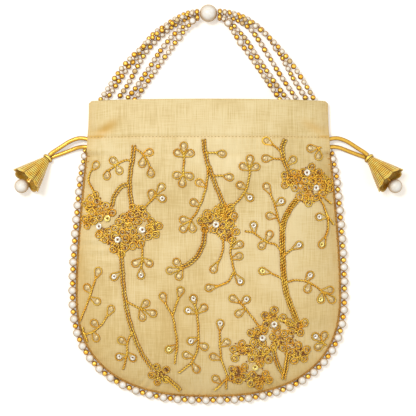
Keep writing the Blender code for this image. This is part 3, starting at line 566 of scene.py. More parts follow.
class Route:
    """A smooth line that is read by the distance along it."""

    def __init__(self, points: Sequence[Vector], spacing: float) -> None:
        """Lay the line.

        Args:
            points: Points that it passes through.
            spacing: How finely it can be read.
        """
        self.points = smooth_line(points, spacing)
        self.step = length_of(self.points) / (len(self.points) - 1)
        self.length = self.step * (len(self.points) - 1)

    def at(self, reach: float) -> Vector:
        """The point at a distance from the start, or the last one."""
        return self.points[min(round(reach / self.step), len(self.points) - 1)].copy()


class Piece:
    """One piece of the bag while it is built, with a finish for each of its faces."""

    def __init__(self, wardrobe: Wardrobe, name: str) -> None:
        """Start an empty piece.

        Args:
            wardrobe: Where its finishes come from.
            name: Name of the piece.
        """
        self.wardrobe = wardrobe
        self.name = name
        self.finishes: list[Finish] = []
        self.bm = bmesh.new()
        # recess: a mark of painted shade on most pieces, and of random tarnish on the embroidery's specks
        self.bm.verts.layers.float.new("recess")

    def number(self, finish: Finish) -> int:
        """Number of a finish's material slot.

        Args:
            finish: The finish.

        Returns:
            Its number on this piece.
        """
        if finish not in self.finishes:
            self.finishes.append(finish)
        return self.finishes.index(finish)

    def dress(self, faces: Iterable[bmesh.types.BMFace], finish: Finish) -> None:
        """Give faces a finish and smooth shading.

        Args:
            faces: The faces.
            finish: Their finish.
        """
        number = self.number(finish)
        for face in faces:
            face.material_index = number
            face.smooth = True

    def add_tubes(self, tubes: Sequence[Tube], finish: Finish, resolution: int = 1) -> None:
        """Add round tubes.

        Args:
            tubes: The tubes.
            finish: Their finish.
            resolution: Blender's bevel resolution: 0 gives four sides, 1 six and 2 eight.
        """
        if not tubes:
            return
        curve = bpy.data.curves.new("tubes", "CURVE")
        curve.dimensions = "3D"
        curve.bevel_depth = MM
        curve.bevel_resolution = resolution
        curve.use_fill_caps = True
        for tube in tubes:
            spline = curve.splines.new("POLY")
            spline.points.add(len(tube.points) - 1)
            spline.use_cyclic_u = tube.closed
            for target, point, radius in zip(spline.points, tube.points, tube.radii):
                target.co = (*point, 1.0)
                target.radius = radius / MM
        holder = bpy.data.objects.new("tubes", curve)
        mesh = bpy.data.meshes.new_from_object(holder)
        known = len(self.bm.faces)
        self.bm.from_mesh(mesh)
        self.bm.faces.ensure_lookup_table()
        fresh = self.bm.faces[known:]
        self.dress(fresh, finish)
        caps = {vert for face in fresh for vert in face.verts if vert.is_boundary}
        bmesh.ops.remove_doubles(self.bm, verts=list(caps), dist=1e-7)
        bpy.data.objects.remove(holder)
        bpy.data.curves.remove(curve)
        bpy.data.meshes.remove(mesh)

    def add_ball(self, centre: Vector, radius: float, finish: Finish, fine: int = 2,
                 squash: float = 1.0, normal: Vector | None = None, recess: float = 0.0) -> None:
        """Add a ball or, with a squash under 1, a low dome.

        Args:
            centre: Its centre.
            radius: Its radius.
            finish: Its finish.
            fine: Subdivisions of the ball.
            squash: Its height as a share of its width.
            normal: Direction of its height, which is up if left out.
            recess: How dark it is, from 0 to 1: random tarnish on the embroidery's specks, and painted
                shade on the bead in a cup sequin.
        """
        up = Vector((0, 0, 1))
        matrix = self.turned(centre, up, normal or up) @ Matrix.Diagonal((1, 1, squash, 1))
        made = bmesh.ops.create_icosphere(self.bm, subdivisions=fine, radius=radius, matrix=matrix)
        self.dress({face for vert in made["verts"] for face in vert.link_faces}, finish)
        layer = self.bm.verts.layers.float["recess"]
        for vert in made["verts"]:
            vert[layer] = recess

    @staticmethod
    def turned(centre: Vector, rest: Vector, wanted: Vector) -> Matrix:
        """Matrix that turns one direction to another and moves to a centre."""
        return Matrix.Translation(centre) @ rest.rotation_difference(wanted).to_matrix().to_4x4()

    def add_turned(self, profile: Sequence[Place], steps: int, matrix: Matrix, finish: Finish,
                   shape: Callable[[Vector], tuple[Vector, float]] | None = None) -> None:
        """Turn a closed outline about the X axis into a ring.

        Args:
            profile: Outline as places along the axis and radii.
            steps: Steps of the full turn.
            matrix: Where the ring goes.
            finish: Its finish.
            shape: Moves each point before it is placed and gives its painted shade.
        """
        ring = bmesh.new()
        verts = [ring.verts.new((along, radius, 0)) for along, radius in profile]
        edges = [ring.edges.new((verts[index - 1], verts[index])) for index in range(len(verts))]
        bmesh.ops.spin(ring, geom=verts + edges, axis=(1, 0, 0), cent=(0, 0, 0), angle=math.tau,
                       steps=steps, use_merge=True)
        bmesh.ops.remove_doubles(ring, verts=ring.verts, dist=1e-7)
        marks = ring.verts.layers.float.new("recess")
        for vert in ring.verts:
            if shape:
                vert.co, vert[marks] = shape(vert.co.copy())
        ring.transform(matrix)
        ring.normal_update()
        bmesh.ops.recalc_face_normals(ring, faces=ring.faces)
        mesh = bpy.data.meshes.new("ring")
        ring.to_mesh(mesh)
        ring.free()
        known = len(self.bm.faces)
        self.bm.from_mesh(mesh)
        self.bm.faces.ensure_lookup_table()
        self.dress(self.bm.faces[known:], finish)
        bpy.data.meshes.remove(mesh)

    def age(self, low: float = 0.42, high: float = 0.95, strength: float = 1.0) -> None:
        """Paint shade where the piece turns down to the cloth or the table, so its underside and rim come
        out darker.

        Args:
            low: Upward share of a face's direction at which the mark is full.
            high: Share at which there is none.
            strength: The full mark.
        """
        self.bm.normal_update()
        layer = self.bm.verts.layers.float["recess"]
        for vert in self.bm.verts:
            # painted shade: points that face away from the light above get the dark tone of the finish
            vert[layer] = max(vert[layer], strength * (1 - smoothstep(low, high, vert.normal.z)))

    def done(self, slot: str, *nodes: str) -> bpy.types.Object:
        """Make the piece's object, which rides on the bag and stands for its nodes.

        Args:
            slot: The record's material slot; not used.
            nodes: Nodes that the piece stands for.

        Returns:
            The object.
        """
        mesh = bpy.data.meshes.new(self.name)
        self.bm.normal_update()
        self.bm.to_mesh(mesh)
        self.bm.free()
        for finish in self.finishes:
            mesh.materials.append(self.wardrobe.get(finish))
        made = bpy.data.objects.new(self.name, mesh)
        bpy.context.collection.objects.link(made)
        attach(made, "root")
        if nodes:
            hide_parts(*nodes)
        faces = sum(len(face.vertices) - 2 for face in mesh.polygons)
        LOG.info("%s: %d triangles", self.name, faces)
        return made


# Shape of the pouch


@dataclass(frozen=True)
class PouchShape:
    """Sizes and surfaces of the pouch."""

    mouth_half_width: float = 0.084
    belly_half_width: float = 0.0923
    belly_depth: float = 0.135
    depth: float = 0.207
    roundness: float = 2.5
    height: float = 0.017
    side_lift: float = 0.002
    cloth: float = 0.0009
    clearance: float = 0.0003
    heading_depth: float = 0.025
    casing_end: float = 0.0385
    cord: float = 0.003
    slot_low: float = 0.0255
    slot_high: float = 0.0346
    slot_fade: float = 0.005
    mouth_y: float = 0.072925
    mouth_bow: float = 0.0009
    mouth_rise: float = 0.0007
    corner_drop: float = 0.0016
    pucker_rise: float = 0.00042
    pucker_reach: float = 0.0085
    pucker_turn: float = 0.78
    pucker_start: float = 0.0025
    pucker_drift: float = 1.6
    bottom_arc: float = 110.0
    heading_step: float = 0.0003
    heading_blur: float = 0.0004
    seam_sink: float = 0.00042
    casing_sink: float = 0.00022
    gather_rise: float = 0.00016
    gather_turn: float = 0.92
    swell_rise: float = 0.0010
    swell_scale: float = 24.0
    ripple_rise: float = 0.0006
    ripple_scale: Place = (50.0, 90.0)
    still_edge: float = 0.006
    creases: tuple[Crease, ...] = (
        ((-66, 9), (-84, 23), 0.0012, 0.0036),
        ((-60, 16), (-76, 26), -0.0010, 0.0032),
        ((66, 11), (83, 20), 0.0009, 0.0034),
        ((62, 17), (80, 25), -0.0008, 0.003),
        ((-90, 97), (-62, 99), 0.0006, 0.002),
        ((-91, 104), (-66, 105), 0.0007, 0.002),
        ((-91, 111), (-60, 113), 0.0006, 0.0022),
        ((-91, 118), (-70, 119), 0.0005, 0.002),
        ((88, 112), (66, 112), 0.0003, 0.0024),
        ((90, 150), (68, 152), 0.0003, 0.0024),
    )

    def half_width(self, depth: float) -> float:
        """Half the width of the pouch at a depth below the mouth.

        Args:
            depth: The depth.

        Returns:
            Half the width.
        """
        if depth <= self.belly_depth:
            flare = smoothstep(0, self.belly_depth, depth)
            return self.mouth_half_width + (self.belly_half_width - self.mouth_half_width) * flare
        share = min((depth - self.belly_depth) / (self.depth - self.belly_depth), 1.0)
        return self.belly_half_width * (1 - share ** self.roundness) ** (1 / self.roundness)

    def edge_share(self, across: float, depth: float) -> float:
        """0 at the middle of the pouch and 1 on its outline.

        Args:
            across: Distance from the middle.
            depth: Depth below the mouth.

        Returns:
            The share.
        """
        if depth <= self.belly_depth:
            return abs(across) / self.half_width(depth)
        side = (abs(across) / self.belly_half_width) ** self.roundness
        down = ((depth - self.belly_depth) / (self.depth - self.belly_depth)) ** self.roundness
        return (side + down) ** (1 / self.roundness)

    def slot_window(self, depth: float) -> float:
        """1 along the side slots of the drawstrings, and 0 away from them."""
        rise = smoothstep(self.slot_low - self.slot_fade, self.slot_low, depth)
        return rise * (1 - smoothstep(self.slot_high, self.slot_high + self.slot_fade, depth))

    def back_under(self, across: float, depth: float) -> float:
        """Height of the outside of the back panel."""
        return self.side_lift * min(self.edge_share(across, depth), 1.0) ** 8

    def plain_front(self, across: float, depth: float) -> float:
        """Height of the outside of the front panel without its folds.

        Args:
            across: Distance from the middle.
            depth: Depth below the mouth.

        Returns:
            The height over the table.
        """
        share = min(self.edge_share(across, depth), 1.0)
        seam = self.side_lift + self.cloth + self.clearance
        dome = (self.height - self.cloth - seam) * (1 - share ** 4)
        slot = (self.cord + self.clearance) * self.slot_window(depth) * share ** 8
        return seam + dome + slot + self.cloth

    def folds(self, across: float, depth: float) -> float:
        """Rise of the front panel's folds, puckers and seams.

        Args:
            across: Distance from the middle.
            depth: Depth below the mouth.

        Returns:
            Height over the plain surface.
        """
        share = min(self.edge_share(across, depth), 1.0)
        inside = (1 - share) * self.half_width(min(depth, self.belly_depth))
        side = 1.0 if across > 0 else -1.0
        round_edge = depth / MM if depth < self.belly_depth else (
            self.belly_depth / MM + self.bottom_arc * math.atan2(depth - self.belly_depth, abs(across)))
        drift = self.pucker_drift * noise.noise(Vector((round_edge * 0.035, side * 7.0, 3.1)))
        pull = math.sin(round_edge * self.pucker_turn + 2.5 * drift) * (0.6 + drift)
        pucker = pull * math.exp(-inside / self.pucker_reach) * smoothstep(0.0, self.pucker_start, inside)
        heading = 1 - smoothstep(
            self.heading_depth - self.heading_blur, self.heading_depth + self.heading_blur, depth)
        seam = (self.seam_sink * hump(depth, self.heading_depth + 0.0006, 0.0008)
                + self.casing_sink * hump(depth, self.casing_end, 0.0011))
        gather = math.sin(across / MM * self.gather_turn + 2 * noise.noise(Vector((across * 60, 1.7, 0))))
        gather *= (hump(depth, self.heading_depth + 0.005, 0.0045)
                   + hump(depth, self.casing_end + 0.004, 0.004))
        wide, long = self.ripple_scale
        swell = self.swell_rise * noise.noise(Vector((across, depth, 0)) * self.swell_scale
                                              + Vector((0, 0, 0.4)))
        swell += self.ripple_rise * noise.noise(Vector((across * wide, depth * long, 2.4)))
        for start, end, rise, width in self.creases:
            swell += rise * self.ridge(across, depth, start, end, width)
        return (self.pucker_rise * pucker + self.heading_step * heading - seam
                + self.gather_rise * gather + swell * smoothstep(0.0, self.still_edge, inside))

    @staticmethod
    def ridge(across: float, depth: float, start: Place, end: Place, width: float) -> float:
        """Share of a single fold at a place.

        Args:
            across: Distance from the middle.
            depth: Depth below the mouth.
            start: One end of the fold, in millimetres.
            end: Its other end, in millimetres.
            width: Its half width, in metres.

        Returns:
            1 on its line and 0 far from it.
        """
        first = Vector(start) * MM
        line = Vector(end) * MM - first
        away = Vector((across, depth)) - first
        along = min(max(away.dot(line) / line.length_squared, 0.0), 1.0)
        fade = math.sin(math.pi * min(max(0.06 + 0.88 * along, 0.0), 1.0))
        return fade * math.exp(-((away - line * along).length / width) ** 2)

    def front(self, across: float, depth: float, rise: float = 0.0) -> Vector:
        """A point over the front panel, at a rise over its cloth."""
        height = self.plain_front(across, depth) + self.folds(across, depth) + rise
        return Vector((across, self.mouth_y - self.bowed(across, depth), height))

    def bowed(self, across: float, depth: float) -> float:
        """Depth of a place once the mouth's edge is bowed and its corners are rounded.

        Args:
            across: Distance from the middle.
            depth: Depth below the mouth.

        Returns:
            The moved depth.
        """
        share = abs(across) / self.mouth_half_width
        bow = self.mouth_bow * share ** 2 + self.corner_drop * smoothstep(0.965, 1.0, share) ** 2
        return depth + (bow - self.mouth_rise) * (1 - smoothstep(0, 0.012, depth))

    def normal(self, across: float, depth: float) -> Vector:
        """Direction in which the front panel faces at a place.

        Args:
            across: Distance from the middle.
            depth: Depth below the mouth.

        Returns:
            The direction, of length 1.
        """
        step = 0.0012
        right = self.front(across + step, depth) - self.front(across - step, depth)
        up = self.front(across, depth - step) - self.front(across, depth + step)
        return right.cross(up).normalized()


# Silk pouch


@dataclass
class SilkPouch:
    """The two silk panels, the lining and the sewn lines."""

    shape: PouchShape
    wardrobe: Wardrobe
    columns: int = 168
    rows: int = 190
    deepest: float = math.radians(87)
    flat_width: float = 0.188
    flat_length: float = 0.210
    flat_area: float = 0.0362
    straight_share: float = 0.62
    edge_crowding: float = 1.2
    drape: float = 0.8
    low_shade: float = 0.22
    edge_shade: float = 0.4
    line_shade: float = 0.3
    lining_columns: int = 120
    lining_rows: int = 90
    lining_depth: float = 0.94
    lining_width: float = 0.352
    lining_length: float = 0.205
    lining_area: float = 0.066
    lining_inset: float = 0.0006
    lining_gap: float = 0.0008
    lining_share: float = 0.955
    casing_lining_share: float = 0.78
    lining_cloth: float = 0.0006
    stitch_pitch: float = 0.0024
    stitch_length: float = 0.0014
    stitch_radius: float = 0.0002
    stitch_bow: tuple[Place, ...] = (
        (-0.5, -0.00016), (-0.3, 0.00005), (0.0, 0.00012), (0.3, 0.00005), (0.5, -0.00016))
    piping_start: float = 0.0362
    piping_offset: float = 0.0002
    piping_ply: float = 0.0004
    piping_pitch: float = 0.0022
    piping_sink: float = 0.0006
    # painted shade along the creases at the mouth's corners and along the seam
    crease_shades: tuple[Crease, ...] = (
        ((-63, 14), (-80, 25.5), 0.9, 0.0034), ((-87, 25.4), (-73, 25.4), 1.2, 0.0008),
        ((64, 14), (82, 23), 0.5, 0.0032), ((87, 25.4), (77, 25.4), 1.0, 0.0008))

    def row(self, share: float) -> Place:
        """Depth and half width of a row of a panel.

        Args:
            share: 0 at the mouth and 1 at the bottom.

        Returns:
            Depth and half width.
        """
        straight = self.straight_share
        if share <= straight:
            depth = self.shape.belly_depth * share / straight
            return depth, self.shape.half_width(depth)
        angle = self.deepest * (share - straight) / (1 - straight)
        down = (self.shape.depth - self.shape.belly_depth) * math.sin(angle) ** (2 / self.shape.roundness)
        wide = self.shape.belly_half_width * math.cos(angle) ** (2 / self.shape.roundness)
        return self.shape.belly_depth + down, wide

    def panel(self, name: str, surface: Callable[[float, float], Vector], node: str) -> None:
        """One silk panel.

        Args:
            name: Name of the piece.
            surface: Point of its outside at a place.
            node: Node that it stands for.
        """
        piece = Piece(self.wardrobe, name)
        bm = piece.bm
        shade = bm.verts.layers.float.new("shade")
        bmesh.ops.create_grid(bm, x_segments=self.columns, y_segments=self.rows, size=1.0)
        for vert in bm.verts:
            depth, wide = self.row((1 - vert.co.y) / 2)
            across = wide * math.copysign(1 - (1 - abs(vert.co.x)) ** self.edge_crowding, vert.co.x)
            vert.co = surface(across, depth)
            share = min(self.shape.edge_share(across, depth), 1.0)
            # painted shade: darker towards the bottom, at the edge, along the sewn lines and along the
            # creases
            line = hump(depth, self.shape.heading_depth + 0.0008, 0.0007) + 0.3 * hump(
                depth, self.shape.casing_end, 0.0008)
            crease_shade = sum(weight * self.shape.ridge(across, depth, start, end, width)
                        for start, end, weight, width in self.crease_shades)
            low = self.low_shade * smoothstep(0.03, 0.2, depth)
            vert[shade] = min(1.0, low + self.edge_shade * share ** 16 + self.line_shade * line + crease_shade)
        piece.dress(bm.faces, Finish.SILK)
        thickness = self.shape.cloth * self.drape
        bm.normal_update()
        facing = 1.0 if name.endswith("front") else -1.0
        middle = min(bm.faces, key=lambda face: face.calc_center_median().to_2d().length)
        if middle.normal.z * facing < 0:
            bmesh.ops.reverse_faces(bm, faces=bm.faces)
        made = bmesh.ops.extrude_face_region(bm, geom=list(bm.faces), use_keep_orig=True)
        for item in made["geom"]:
            if isinstance(item, bmesh.types.BMVert):
                item.co.z -= facing * thickness
        bm.normal_update()
        bmesh.ops.recalc_face_normals(bm, faces=bm.faces)
        panel = piece.done("silk", node)

    def lining(self) -> None:
        """The lining, a pouch that is open at the mouth."""
        piece = Piece(self.wardrobe, "satin_lining")
        bm = piece.bm
        bmesh.ops.create_grid(bm, x_segments=self.lining_columns, y_segments=self.lining_rows, size=1.0)
        for vert in bm.verts:
            depth, wide = self.row((1 - vert.co.y) / 2 * self.lining_depth)
            vert.co = self.lining_point(vert.co.x * math.pi, depth, wide)
        bmesh.ops.remove_doubles(bm, verts=bm.verts, dist=2e-6)
        rims = [edge for edge in bm.edges if edge.is_boundary]
        bottom = [edge for edge in rims if edge.verts[0].co.y < 0]
        bmesh.ops.holes_fill(bm, edges=bottom, sides=0)
        bmesh.ops.recalc_face_normals(bm, faces=bm.faces)
        bmesh.ops.solidify(bm, geom=list(bm.faces), thickness=self.lining_cloth / 2)
        piece.dress(bm.faces, Finish.LINING)
        bm.normal_update()
        bmesh.ops.recalc_face_normals(bm, faces=bm.faces)
        made = piece.done("lining_satin", "lining")

    def lining_point(self, angle: float, depth: float, wide: float) -> Vector:
        """A point of the lining.

        Args:
            angle: Turn round the pouch, from minus pi to pi, with the front from 0 to pi.
            depth: Depth below the mouth.
            wide: Half width of the pouch there.

        Returns:
            The point.
        """
        shape = self.shape
        rise = smoothstep(shape.heading_depth - 0.0065, shape.heading_depth - 0.0005, depth)
        casing = rise * (1 - smoothstep(0.036, 0.042, depth))
        share = self.lining_share - (self.lining_share - self.casing_lining_share) * casing
        across = -wide * share * math.cos(angle)
        gap = self.lining_gap + (shape.cord + 2 * shape.clearance) * casing
        top = shape.plain_front(across, depth) - shape.cloth - gap
        low = shape.back_under(across, depth) + shape.cloth + gap
        middle = (top + low) / 2
        swell = abs(math.sin(angle)) ** 0.35
        height = middle + (top - middle if angle > 0 else low - middle) * swell
        return Vector((across, shape.mouth_y - shape.bowed(across, depth) - self.lining_inset, height))

    def stitches(self) -> None:
        """Running stitches along the heading seam."""
        piece = Piece(self.wardrobe, "heading_stitches")
        depth = self.shape.heading_depth + 0.0007
        wide = self.shape.half_width(depth) - 0.003
        count = int(2 * wide / self.stitch_pitch)
        tubes = []
        for index in range(count + 1):
            middle = -wide + 2 * wide * index / count
            points = [self.shape.front(middle + self.stitch_length * share, depth, rise)
                      for share, rise in self.stitch_bow]
            tubes.append(Tube.even(points, self.stitch_radius))
        piece.add_tubes(tubes, Finish.STITCH)
        piece.done("thread")

    def piping(self) -> None:
        """Twisted cord along the sewn edge of the front."""
        piece = Piece(self.wardrobe, "edge_piping")
        outline = edge_outline(self.shape, self.piping_start, self.piping_offset)
        line = smooth_line(outline, 0.00042)
        tubes = rope(self.shape, line, self.piping_pitch, self.piping_ply, self.piping_sink)
        piece.add_tubes(tubes, Finish.PIPING, 0)
        # painted shade on the cord's underside
        piece.age(0.2, 0.9)
        piece.done("zari")

    def build(self) -> None:
        """Build the pouch."""
        self.panel("silk_front", self.shape.front, "outer_front")
        self.panel("silk_back", self.back, "outer_back")
        self.lining()
        self.stitches()
        self.piping()

    def back(self, across: float, depth: float) -> Vector:
        """A point of the back panel's outside."""
        shape = self.shape
        return Vector((across, shape.mouth_y - shape.bowed(across, depth), shape.back_under(across, depth)))


def edge_outline(shape: PouchShape, start: float, offset: float) -> list[Vector]:
    """Line beside the sewn edge, from the left side round the bottom to the right.

    Args:
        shape: The pouch.
        start: Depth at which it starts.
        offset: Distance outside the edge.

    Returns:
        Places across and down.
    """
    def outline(share: float) -> Vector:
        """A place on the left half of the outline.

        Args:
            share: 0 at the start and 1 in the middle of the bottom.

        Returns:
            The place across and down.
        """
        if share <= 0.5:
            depth = start + (shape.belly_depth - start) * share / 0.5
            return Vector((-shape.half_width(depth), depth))
        angle = math.pi * (share - 0.5)
        wide = shape.belly_half_width * max(math.cos(angle), 0.0) ** (2 / shape.roundness)
        down = (shape.depth - shape.belly_depth) * math.sin(angle) ** (2 / shape.roundness)
        return Vector((-wide, shape.belly_depth + down))

    samples, left = 60, []
    for step in range(samples + 1):
        before = outline(max(step - 0.5, 0) / samples)
        after = outline(min(step + 0.5, samples) / samples)
        along = Vector((1, 0)) if step == samples else (after - before).normalized()
        left.append(outline(step / samples) + Vector((-along.y, along.x)) * offset)
    return left + [Vector((-point.x, point.y)) for point in reversed(left[:-1])]


def rope(shape: PouchShape, line: Sequence[Vector], pitch: float, ply: float, sink: float,
         turn: float = 0.0, closed: bool = False) -> list[Tube]:
    """Two twisted plies that lie on the front panel along a line.

    Args:
        shape: The pouch.
        line: Places across and down, evenly spaced.
        pitch: Length of a full twist.
        ply: Radius of each ply, and of its turn about the rope's middle.
        sink: How far the rope sinks into the cloth.
        turn: Start of the twist, in radians.
        closed: Whether the line returns to its start.

    Returns:
        The plies.
    """
    plies: list[list[Vector]] = [[], []]
    count = len(line)
    reach = 0.0
    length = length_of(line)
    turns = max(1, round(length / pitch)) if closed else length / pitch
    for index, here in enumerate(line):
        ahead = line[(index + 1) % count] if closed else line[min(index + 1, count - 1)]
        behind = line[index - 1] if closed or index else line[0]
        across, depth = here
        normal = shape.normal(across, depth)
        flow = (ahead - behind).normalized()
        along = Vector((flow.x, -flow.y, 0))
        side = normal.cross(along).normalized()
        middle = shape.front(across, depth) + normal * (2 * ply - sink)
        angle = turn + math.tau * turns * (index / count if closed else reach / length)
        for number in (0, 1):
            swing = angle + math.pi * number
            plies[number].append(middle + (side * math.cos(swing) + normal * math.sin(swing)) * ply)
        if index + 1 < count:
            reach += (line[index + 1] - here).length
    return [Tube.even(points, ply * PLY_PRESS, closed) for points in plies]


# Embroidery


class Width(Enum):
    """Ropes of a stem, as their distances from its middle in millimetres."""

    STEM = (0.0,)
    DOUBLE = (-0.95, 0.95)
    TRUNK = (-1.35, 0.0, 1.35)


@dataclass(frozen=True)
class Vine:
    """One group of embroidery, drawn in millimetres.

    A stem is its ropes and its points. A leaf is its middle and its base, with a stone, a white cup
    or a yellow cup sewn in it. Petals, knots, blossoms and cups are places.
    """

    name: str
    stems: tuple[tuple[Width, tuple[Place, ...]], ...]
    leaves: tuple[Leaf, ...] = ()
    white_leaves: tuple[Leaf, ...] = ()
    yellow_leaves: tuple[Leaf, ...] = ()
    petals: tuple[Place, ...] = ()
    knots: tuple[Place, ...] = ()
    blossoms: tuple[Place, ...] = ()
    cups: tuple[Place, ...] = ()
    yellow_cups: tuple[Place, ...] = ()


